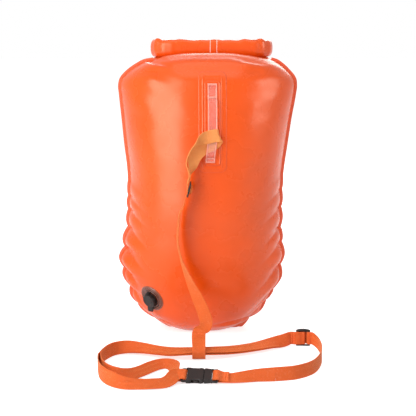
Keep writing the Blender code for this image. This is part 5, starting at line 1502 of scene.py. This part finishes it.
@dataclass(frozen=True)
class Leash:
    """The leash: looped round the clear strap, through its slider, and down to its tail loop."""

    bag: Bag
    hardware: Hardware
    width: float = 0.02
    wall: float = 0.0014
    selvage: float = 0.0016
    step: float = 0.0012
    front_out: float = 0.0102
    back_out: float = 0.0041
    turn_right: float = 0.007
    turn_up: float = -0.019
    turn_slope: float = 42.0
    slider_place: Place = (-0.0222, -0.1165, 0.2491)
    slider_tilt: float = 13.0
    straight: float = 0.005
    tail_right: float = -0.007
    tail_front: float = -0.184
    tail_rise: float = 0.0132
    tail_radius: float = 0.0122
    tail_apex: Pair = (0.018, 0.0235)
    tail_sewn: float = 0.012
    tail_lap: float = 0.4
    tail_steps: int = 22
    tack_shares: Pair = (0.35, 0.85)
    tack_width: float = 0.0165
    blend_start: float = 0.003
    blend_end: float = 0.045

    FRONT_ROUTE = (
        (-0.0005, -0.0198, 0.0104, -0.25, 0.97, 0.0), (-0.009, -0.022, 0.0115, -0.27, 0.94, 0.18),
        (-0.0175, -0.0255, 0.0145, -0.36, 0.68, 0.64), (-0.025, -0.032, 0.017, -0.21, 0.16, 0.97),
        (-0.035, -0.045, 0.018, -0.09, 0.04, 1.0), (-0.04, -0.061, 0.015, -0.05, 0.01, 1.0),
    )
    RETURN_ROUTE = (
        (0.002, -0.0305, 0.0041, -0.63, 0.78, 0.0), (-0.008, -0.0356, 0.0042, -0.58, 0.81, 0.04),
        (-0.019, -0.042, 0.007, -0.72, 0.69, 0.02), (-0.0282, -0.053, 0.0116, -0.86, 0.48, 0.14),
        (-0.0312, -0.067, 0.0134, -0.62, 0.16, 0.76),
    )
    DOWN_ROUTE = (
        (-0.0362, -0.1175, 0.212, 85.0), (-0.0392, -0.1185, 0.192, 81.0), (-0.0397, -0.119, 0.166, 80.0),
        (-0.035, -0.12, 0.142, 77.0), (-0.0297, -0.121, 0.126, 66.0), (-0.019, -0.124, 0.1, 46.0),
        (-0.009, -0.131, 0.08, 30.0), (-0.0006, -0.14, 0.062, 21.0), (0.004, -0.149, 0.0475, 10.0),
        (0.001, -0.156, 0.0405, 0.0),
    )

    def slider_frame(self) -> Matrix:
        """Return the slider's frame: down the webbing, towards the bag, and its face."""
        tilt = math.radians(self.slider_tilt)
        along = Vector((-math.sin(tilt), 0, -math.cos(tilt)))
        side = Vector((0, 1, 0))
        return frame_of(self.slider_place, along, side, along.cross(side))

    def turn(self, count: int = 14) -> Array:
        """Work out the turn round the strap's right edge, as rows in the strap's frame.

        A flat strap that turns back at a slope bends round an axis leaning by half of that slope,
        and drifts along the axis by the tangent of the lean times the arc.

        Args:
            count: Number of steps.

        Returns:
            Rows of place and across direction.
        """
        radius = (self.front_out - self.back_out) / 2
        lean = math.radians(self.turn_slope) / 2
        axis = np.array([-math.sin(lean), math.cos(lean), 0])
        level = np.array([math.cos(lean), math.sin(lean), 0])
        out = np.array([0, 0, 1])
        angle = np.linspace(0, math.pi, count + 1)[:, None]
        start = np.array([self.turn_right, self.turn_up, self.front_out])
        places = (start + radius * np.sin(angle) * level - radius * (1 - np.cos(angle)) * out
                  - math.tan(lean) * radius * angle * axis)
        heading = level * np.cos(angle) - out * np.sin(angle)
        return np.column_stack([places, math.cos(lean) * axis + math.sin(lean) * heading])

    def in_strap(self, rows: Array) -> Array:
        """Turn rows in the strap's frame into rows in the row frame."""
        place = self.bag.strap_frame()
        return np.column_stack([local(place, rows[:, :3]), rows[:, 3:] @ np.array(place.to_3x3()).T])

    def hinge(self) -> Array:
        """Return the place where the leash swings, under its slider."""
        return local(self.slider_frame(), self.hardware.running_line(self.hardware.slider_straight))[-1]

    def tail(self) -> Array:
        """Return the line of the tail loop.

        It runs down behind the belt, under it and up in front, then folds over its own top and
        lies along the leash, where it is sewn down.
        """
        centre = np.array([self.tail_front, self.tail_rise])
        top = centre + self.tail_apex
        facing = math.atan2(self.tail_apex[1], self.tail_apex[0])
        half_open = math.acos(self.tail_radius / np.linalg.norm(top - centre))
        touch = facing - half_open
        behind = centre + self.tail_radius * np.array([math.cos(touch), math.sin(touch)])
        down = unit(behind - top)
        layer = self.hardware.layer_pitch * np.array([-down[1], down[0]])
        angles = np.linspace(touch - self.tail_lap, facing + half_open - 2 * math.pi, self.tail_steps)
        arc = centre + self.tail_radius * np.stack([np.cos(angles), np.sin(angles)], axis=-1)
        fold = top + layer / 2 - down * self.wall
        flat = np.concatenate([[top + 2 * layer, behind + 2 * layer], arc,
                               [top, fold, top + layer, top + layer + down * self.tail_sewn]])
        return np.column_stack([np.full(len(flat), self.tail_right), flat])

    def build(self, webbing: Finish, thread: Finish) -> None:
        """Make the leash as one strap that runs past its hinge, and its stitches."""
        slider = self.slider_frame()
        side = -np.array(slider.col[1][:3])
        sewn = with_across(local(slider, self.hardware.sewn_line()), side)
        running = with_across(local(slider, self.hardware.running_line(self.hardware.slider_straight)), side)
        turn = self.in_strap(self.turn())
        front = self.in_strap(np.array(self.FRONT_ROUTE))
        behind = self.in_strap(np.array(self.RETURN_ROUTE))
        down = np.array(self.DOWN_ROUTE)
        degrees = np.radians(down[:, 3])
        down_across = np.stack([np.cos(degrees), -np.sin(degrees), np.zeros(len(down))], axis=-1)
        below = self.hinge() + np.array(slider.col[0][:3]) * self.straight
        rows = np.concatenate([
            sewn, front[::-1], turn, behind, running, with_across([below], side),
            np.column_stack([down[:, :3], down_across]), with_across(self.tail(), (1, 0, 0))])
        rows[:, 3:] = unit(rows[:, 3:])
        piece = carry_section("leash_strap_woven", smooth_line(rows, self.step),
                              strap_section(self.width, self.wall, self.selvage), webbing)
        dress(piece, Slot.WEBBING, "leash_loop", "leash_strap")
        start = self.hinge() + (0, 0, self.blend_start)
        tuple(self.hinge() - np.array((0, 0, self.blend_end)))
        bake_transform(piece)
        self.build_stitches(thread)

    def build_stitches(self, thread: Finish) -> None:
        """Sew the tail loop with two rows of stitches below its fold."""
        line = self.tail()
        top, before = line[-4], line[-5]
        down = unit(before - top)
        out = np.cross((1, 0, 0), down)
        out = out * -np.sign(out[1])
        for name, share in zip(("near", "far"), self.tack_shares):
            spot = top + down * self.tail_sewn * share + out * self.wall / 2
            place = frame_of(spot, down, (1, 0, 0), out)
            tack = bar_tack("tail_tack_" + name, place, self.tack_width, thread)
            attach(tack, "leash_strap")


# Belt

@dataclass(frozen=True)
class Belt:
    """The waist belt: one webbing, doubled from its buckle back to its slider."""

    hardware: Hardware
    width: float = 0.02
    wall: float = 0.0014
    selvage: float = 0.0016
    step: float = 0.0016
    hoop_step: float = 0.006
    slider_place: Place = (0.156, -0.113, 0.013)
    slider_yaw: float = -4.0
    straight_right: float = 0.0135
    buckle_place: Place = (-0.005, -0.293, 0.0094)
    buckle_yaw: float = -5.0
    buckle_lean: float = 65.0
    sewn_length: float = 0.015
    slack_share: float = 0.8
    slack_place: float = 0.012
    slack_reach: float = 0.045
    tack_width: float = 0.0165
    tack_inset: float = 0.0022
    near_tack_share: float = 0.42
    slider_tack_shares: Pair = (0.68, 0.86)
    lap_start_share: float = 2.2
    blend_ahead: float = 0.004
    loose_size: float = 0.0005
    loose_step: float = 0.0003
    rail_up: float = 0.0121
    rail_tall: float = 0.0052
    rail_arch: float = 0.0016
    rail_deep: float = 0.0046
    rail_steps: int = 25
    rail_power: int = 6
    rail_reach_share: float = 1.03

    REAR_ROUTE = (
        (0.124, -0.122, 0.0108, 26.0), (0.104, -0.1345, 0.0095, 60.0), (0.08, -0.149, 0.0082, 73.0),
        (0.055, -0.1625, 0.008, 77.0), (0.033, -0.1735, 0.009, 79.0), (0.01, -0.182, 0.0105, 81.0),
        (-0.008, -0.1845, 0.0112, 83.0), (-0.026, -0.1835, 0.0108, 79.0), (-0.048, -0.179, 0.0092, 72.0),
        (-0.07, -0.171, 0.009, 70.0), (-0.094, -0.1605, 0.0096, 58.0), (-0.118, -0.155, 0.0102, 34.0),
        (-0.137, -0.164, 0.0102, 10.0), (-0.149, -0.188, 0.0102, 0.0), (-0.155, -0.22, 0.0102, 0.0),
    )
    FRONT_LEFT_ROUTE = (
        (-0.1515, -0.255, 0.0102, 0.0), (-0.144, -0.283, 0.0102, -10.0), (-0.13, -0.306, 0.0097, -28.0),
        (-0.11, -0.319, 0.0074, -50.0), (-0.089, -0.3205, 0.0064, -60.0), (-0.069, -0.319, 0.0064, -62.0),
        (-0.054, -0.315, 0.0066, -63.0), (-0.0455, -0.306, 0.0086, -64.0), (-0.041, -0.297, 0.0112, -65.0),
    )
    RETURN_ROUTE = (
        (-0.0395, -0.286, 0.0066, 65.0), (-0.0425, -0.275, 0.0078, 56.0), (-0.042, -0.26, 0.0082, 52.0),
        (-0.0425, -0.245, 0.0078, 54.0), (-0.0475, -0.232, 0.007, 58.0), (-0.0565, -0.2265, 0.0066, 60.0),
        (-0.0665, -0.2305, 0.0064, 60.0), (-0.077, -0.243, 0.0064, 60.0), (-0.088, -0.26, 0.0066, 60.0),
        (-0.102, -0.277, 0.0074, 52.0), (-0.118, -0.286, 0.009, 36.0), (-0.13, -0.282, 0.01, 20.0),
        (-0.14, -0.268, 0.0102, 8.0), (-0.1465, -0.248, 0.0102, 0.0),
    )
    RIGHT_ROUTE = (
        (0.1752, -0.127, 0.0112, 0.0), (0.1788, -0.15, 0.0102, 0.0), (0.178, -0.185, 0.0102, 0.0),
        (0.1715, -0.223, 0.0102, 2.0), (0.157, -0.257, 0.0101, 8.0), (0.132, -0.279, 0.0099, 16.0),
        (0.102, -0.287, 0.0097, 24.0), (0.076, -0.288, 0.0084, 44.0),
    )
    SPLIT_ROW = 6
    LOOSE_THREAD = ((0.0, -0.0085, 0.0), (0.0012, -0.01, -0.0006), (0.0006, -0.0118, -0.0012),
                    (0.0028, -0.0128, -0.001))

    def slider_frame(self) -> Matrix:
        """Return the slider's frame: along the belt, down, and its face away from the hoop."""
        yaw = math.radians(self.slider_yaw)
        along = Vector((math.cos(yaw), math.sin(yaw), 0))
        face = Vector((-math.sin(yaw), math.cos(yaw), 0))
        return frame_of(self.slider_place, along, face.cross(along), face)

    def buckle_frame(self) -> Matrix:
        """Return the buckle's frame: along the belt, its side, and its face to the hoop and down."""
        yaw, lean = math.radians(self.buckle_yaw), math.radians(self.buckle_lean)
        along = Vector((math.cos(yaw), math.sin(yaw), 0))
        level = Vector((-math.sin(yaw), math.cos(yaw), 0))
        face = level * math.cos(lean) - Vector((0, 0, math.sin(lean)))
        return frame_of(self.buckle_place, along, face.cross(along), face)

    def sewn_end(self) -> float:
        """Return where the plug's sewn end lies, along the buckle's frame."""
        return self.hardware.bar_middle() + self.hardware.bar / 2 + self.sewn_length

    def route(self, table: tuple | Array) -> Array:
        """Turn a route with turn angles into rows of place and across direction.

        The across direction is upright, turned about the belt's own run by the route's angle.

        Args:
            table: Rows of place and turn in degrees.

        Returns:
            Rows of place and across direction.
        """
        rows = np.array(table, dtype=float)
        heading = unit(np.gradient(rows[:, :3], axis=0) * (1, 1, 0))
        inward = np.stack([-heading[:, 1], heading[:, 0], np.zeros(len(rows))], axis=-1)
        angle = np.radians(rows[:, 3])[:, None]
        return np.column_stack([rows[:, :3], np.cos(angle) * (0, 0, 1) - np.sin(angle) * inward])

    def build(self, webbing: Finish, thread: Finish, plastic: Finish) -> None:
        """Make the belt, and the short run to the plug as a piece of its own.

        Args:
            webbing: Finish of the belt.
            thread: Finish of its stitches.
            plastic: Finish of the slider.
        """
        slider, buckle, parts = self.slider_frame(), self.buckle_frame(), self.hardware
        upright = (0, 0, 1)
        upward = -np.array(buckle.col[1][:3])
        leaving = parts.bar_middle() + parts.bar / 2 + self.sewn_length / 4
        ends = [(-leaving, 0, side * parts.wrap_offset()) for side in (-1, 1)]
        sewn = with_across(local(slider, parts.sewn_line()), upright)
        running = with_across(local(slider, parts.running_line(self.straight_right)), upright)
        around = with_across(local(buckle, ends[:1] + parts.bar_wrap(-1) + ends[1:]), upward)
        rear_table = np.concatenate([[[*running[0, :3], 0.0]], self.REAR_ROUTE])
        outer = smooth_line(self.route(rear_table), self.hoop_step)
        heading = unit(np.gradient(outer[:, :3], axis=0))
        inner = outer.copy()
        slack = 1 + self.slack_share * np.exp(-((outer[:, :1] - self.slack_place) / self.slack_reach) ** 2)
        inner[:, :3] += unit(np.cross(outer[:, 3:], heading)) * parts.layer_pitch * slack
        front = self.route(self.FRONT_LEFT_ROUTE)
        back = self.route(self.RETURN_ROUTE)
        right = self.route(self.RIGHT_ROUTE)
        rows = np.concatenate([sewn[:-1], inner[:-1], back[::-1], around[::-1], front[::-1], outer[1:][::-1],
                               running, right[:self.SPLIT_ROW + 1]])
        section = strap_section(self.width, self.wall, self.selvage)
        line = smooth_line(rows, self.step)
        piece = carry_section("belt_strap_woven", line, section, webbing)
        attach(dress(piece, Slot.WEBBING, "belt_webbing"), "belt")
        over = parts.wrap_offset() - parts.layer_pitch - parts.gap
        reach = self.sewn_end()
        lap_start = parts.bar_middle() + parts.bar * self.lap_start_share
        straight = local(buckle, [(leaving + self.sewn_length, 0, parts.wrap_offset())])
        near = local(buckle, [(lap_start, 0, over), (reach, 0, over)])
        plug = local(buckle, parts.bar_wrap(1)[::-1])
        tail = np.concatenate([right[self.SPLIT_ROW:],
                               with_across(np.concatenate([straight, plug, near]), upward)])
        end = carry_section("belt_strap_plug_end", smooth_line(tail, self.step), section, webbing,
                            len(line) * self.step)
        dress(end, Slot.WEBBING)
        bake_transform(end)
        self.build_stitches(over - self.wall / 2, thread)
        self.build_rail(plastic)

    def build_stitches(self, face: float, thread: Finish) -> None:
        """Sew the plug's end and the slider's end, and leave a loose thread at the plug.

        Args:
            face: Place of the outer face of the plug's sewn end, in the buckle's frame.
            thread: Finish of the thread.
        """
        slider, buckle, parts = self.slider_frame(), self.buckle_frame(), self.hardware
        reach = self.sewn_end()
        for name, inset in (("near", self.sewn_length * self.near_tack_share), ("far", self.tack_inset)):
            place = buckle @ Matrix.Translation((reach - inset, 0, face))
            tack = bar_tack("plug_tack_" + name, place, self.tack_width, thread)
            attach(tack, "belt_buckle_male")
        under = parts.slider_wall / 2 + parts.gap + self.wall + parts.gap / 2 + parts.layer_pitch
        for name, share in zip(("near", "far"), self.slider_tack_shares):
            place = slider @ Matrix.Translation((-parts.slider_straight * share, 0, -under))
            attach(bar_tack("slider_tack_" + name, place, self.tack_width, thread), "belt")
        ends = [(reach + ahead, side, face + out) for ahead, side, out in self.LOOSE_THREAD]
        rows = smooth_line(with_across(local(buckle, ends), buckle.col[2][:3]), self.loose_step)
        section = oval_section(self.loose_size, self.loose_size, THREAD_SIDES)
        loose = carry_section("plug_loose_thread", rows, section, thread)
        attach(dress(loose, Slot.WEBBING), "belt_buckle_male")

    def build_rail(self, plastic: Finish) -> None:
        """Make the slider's thick upper rail, an arched oval bar that narrows at both ends."""
        slider = self.slider_frame()
        half = self.hardware.slider_length / 2
        run = np.linspace(-half, half, self.rail_steps)
        up = self.rail_up - self.rail_arch * (run / half) ** 2
        points = np.stack([run, -up, run * 0], axis=-1)
        rows = with_across(local(slider, points), slider.col[1][:3])
        narrow = (1 - (np.abs(run) / (half * self.rail_reach_share)) ** self.rail_power) ** 0.5
        section = oval_section(self.rail_tall, self.rail_deep)
        rail = carry_section("slider_rail", rows, section, plastic, 0.0, narrow)
        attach(dress(rail, Slot.HARDWARE), "belt_slider")


# Tabs and buckle behind the roll

@dataclass(frozen=True)
class RollClosure:
    """Webbing tabs from the ends of the roll to the buckle behind it."""

    hardware: Hardware
    place: Place = (0.012, 0.056, 0.46)
    width: float = 0.016
    wall: float = 0.0014
    selvage: float = 0.0014
    straight_half: float = 0.0645
    step: float = 0.0008

    def frame(self) -> Matrix:
        """Return the frame of the buckle behind the roll."""
        return frame_of(self.place, (1, 0, 0), (0, 0, -1), (0, 1, 0))

    def build_tab(self, name: str, node: str, side: int, webbing: Finish) -> Piece:
        """Make one tab, from the roll to its half of the buckle and back round the bar."""
        parts = self.hardware
        start = side * (self.straight_half - parts.gap)
        near = side * (parts.bar_middle() + parts.bar + parts.bar_wall)
        entry = side * (parts.bar_middle() + 2 * parts.bar + 2 * parts.bar_wall)
        points = [(start, 0, 0), (entry, 0, 0), (near, 0, -parts.wrap_offset() / 2)] + parts.bar_wrap(side)
        points += [(near, 0, parts.wrap_offset())]
        rows = smooth_line(with_across(local(self.frame(), points), (0, 0, -1)), self.step)
        piece = carry_section(name, rows, strap_section(self.width, self.wall, self.selvage), webbing)
        return dress(piece, Slot.WEBBING, node)

    def build(self, webbing: Finish) -> None:
        """Make both tabs."""
        left = self.build_tab("roll_tab_left_woven", "roll_tab_left", -1, webbing)
        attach(left, "bag")
        right = self.build_tab("roll_tab_right_woven", "roll_tab_right", 1, webbing)
        start = local(self.frame(), [(self.straight_half, 0, 0)])[0]
        end = local(self.frame(), [(self.hardware.bar_middle() + self.hardware.bar, 0, 0)])[0]
        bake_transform(right)


# Studio

@dataclass(frozen=True)
class Lamp:
    """A soft rectangular lamp, which may cast no shadow."""

    name: str
    place: Place
    aim: Place
    size: Pair
    power: float
    casts: bool = True

    def build(self) -> None:
        """Hang the lamp and turn it to its aim."""
        data = bpy.data.lights.new(self.name, "AREA")
        data.shape = "RECTANGLE"
        data.size, data.size_y = self.size
        data.energy = self.power
        data.use_shadow = self.casts
        lamp = add_object(self.name, data)
        lamp.location = self.place
        heading = Vector(self.aim) - Vector(self.place)
        lamp.rotation_euler = heading.to_track_quat("-Z", "Y").to_euler()


@dataclass(frozen=True)
class Studio:
    """Camera, lamps, floor and pale surroundings."""

    camera_place: Place = (0.0067, -1.8, 0.5)
    camera_tilt: float = 9.44
    lens: float = 96.06
    sensor: float = 36.0
    far_clip: float = 60.0
    floor_half: float = 14.0
    floor_down: float = 0.0004
    floor_colour: Colour = (0.74, 0.74, 0.74)
    glow_near: float = 0.62
    glow_far: float = 1.0
    glow_reach: Pair = (0.35, 1.8)
    world_light: float = 0.11
    lamps: tuple[Lamp, ...] = (
        Lamp("lamp_left", (-1.1, -1.1, 0.75), (0.0, 0.0, 0.26), (1.25, 1.6), 25.0),
        Lamp("lamp_fill", (-1.05, -1.15, 0.75), (0.0, 0.0, 0.26), (1.25, 1.6), 13.0, casts=False),
        Lamp("lamp_right", (1.45, -0.6, 0.8), (0.0, 0.0, 0.28), (0.8, 0.9), 11.5),
        Lamp("lamp_top", (0.0, -0.6, 2.2), (0.0, -0.05, 0.2), (1.6, 1.2), 9.0),
        Lamp("lamp_back", (0.3, 1.8, 1.4), (0.0, 0.0, 0.2), (1.6, 1.2), 26.0),
    )

    def build_camera(self) -> None:
        """Set up the camera at the photograph's view."""
        data = bpy.data.cameras.new("camera")
        data.lens = self.lens
        data.sensor_width = self.sensor
        data.clip_end = self.far_clip
        camera = add_object("camera", data)
        camera.location = self.camera_place
        camera.rotation_euler = (math.radians(90 - self.camera_tilt), 0, 0)
        bpy.context.scene.camera = camera

    def floor_material(self) -> Finish:
        """Build the floor's finish: a matt white that glows where it is seen, more so far away."""
        shader = Shader("floor_pale")
        shader.paint(Base_Color=self.floor_colour, Roughness=0.9, Specular_IOR_Level=0.1)
        away = shader.node("ShaderNodeVectorMath", {"operation": "LENGTH"}, Vector=shader.place())
        level = shader.spread(away.outputs["Value"], self.glow_near, self.glow_far, *self.glow_reach)
        strength = shader.math("MULTIPLY", shader.seen(), level)
        glow = shader.node("ShaderNodeEmission", Color=(1, 1, 1), Strength=strength)
        both = shader.node("ShaderNodeAddShader")
        shader.feed(both.inputs[0], shader.surface.outputs[0])
        shader.feed(both.inputs[1], glow.outputs[0])
        shader.feed(shader.tree.nodes["Material Output"].inputs["Surface"], both.outputs[0])
        return shader.material

    def build_floor(self) -> None:
        """Lay the floor just under the bag."""
        half, down = self.floor_half, -self.floor_down
        points = [(-half, -half, down), (half, -half, down), (half, half, down), (-half, half, down)]
        mesh = bpy.data.meshes.new("floor")
        mesh.from_pydata(points, [], [(0, 1, 2, 3)])
        mesh.materials.append(self.floor_material())
        floor = add_object("floor", mesh)

    def build_world(self) -> None:
        """Surround the scene: white where it is seen, softer as light."""
        world = bpy.data.worlds.new("surroundings")
        bpy.context.scene.world = world
        world.use_nodes = True
        nodes = Nodes(world.node_tree)
        back = nodes.tree.nodes["Background"]
        level = nodes.node("ShaderNodeMapRange", Value=nodes.seen(), To_Min=self.world_light, To_Max=1.0)
        nodes.feed(back.inputs["Color"], (1, 1, 1))
        nodes.feed(back.inputs["Strength"], level.outputs["Result"])

    def build(self) -> None:
        """Set up everything that isn't the buoy."""
        self.build_camera()
        self.build_floor()
        self.build_world()
        for lamp in self.lamps:
            lamp.build()
        bpy.context.scene.view_settings.view_transform = "Standard"


def main() -> None:
    """Build the buoy's pieces and the studio round them."""
    logging.basicConfig(level=logging.INFO, format="%(name)s: %(message)s")
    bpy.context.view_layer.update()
    sheet = CoatedSheet("sheet_orange", (0.76, 0.076, 0.003)).material()
    neck = CoatedSheet("sheet_neck", (0.75, 0.078, 0.005), stripes=(0.0102, 0.0209)).material()
    webbing = WovenWebbing("webbing_orange", (0.79, 0.12, 0.016)).material()
    # The leash's first run, round its loop, gets a painted highlight
    leash_web = WovenWebbing("webbing_leash", (0.79, 0.124, 0.016), highlight_run=(0.195, 0.225)).material()
    thread = MouldedPlastic("thread_orange", (1.0, 0.3, 0.1), roughness=0.6, wear_share=1.0).material()
    black = MouldedPlastic("plastic_black", (0.013, 0.009, 0.008)).material()
    valve_plastic = MouldedPlastic("plastic_valve", (0.014, 0.009, 0.008), roughness=0.45).material()
    rubber = MouldedPlastic("rubber_check", (0.035, 0.03, 0.028), roughness=0.7).material()
    film = MouldedPlastic("film_liner", (0.55, 0.1, 0.03), roughness=0.45, grain_strength=0.1,
                          wear_share=1.1).material()
    strip = MouldedPlastic("strip_stiff", (0.3, 0.31, 0.33), roughness=0.5).material()
    clear = ClearSheet("sheet_clear", (1.0, 0.9, 0.88)).material()
    # Beads and weld bars of the clear strap: partly frosted thick plastic, partly a painted highlight at the
    # edges and bends
    pale_highlight = ClearSheet("sheet_clear_thick", (1.0, 0.44, 0.34), roughness=0.3, passing=0.45).material()
    smoked = SmokedSheet("sheet_smoked", (0.19, 0.052, 0.025)).material()

    bag = Bag()
    hardware = Hardware()
    valves = {-1: Valve(bag, -1, "front"), 1: Valve(bag, 1, "rear")}
    bag.build(sheet, film, valves)
    RolledMouth().build(neck)
    repaint("mouth_stiffener", strip)
    RollClosure(hardware).build(webbing)
    StrapPatch(bag).build(sheet, clear, pale_highlight)
    for valve in valves.values():
        valve.build(smoked, valve_plastic, rubber)
    Leash(bag, hardware).build(leash_web, thread)
    Belt(hardware).build(webbing, thread, black)
    for node in ("leash_slider", "belt_slider", "belt_buckle_female", "belt_buckle_male",
                 "roll_buckle_female", "roll_buckle_male"):
        repaint(node, black)
    Studio().build()


if __name__ == "__main__":
    main()
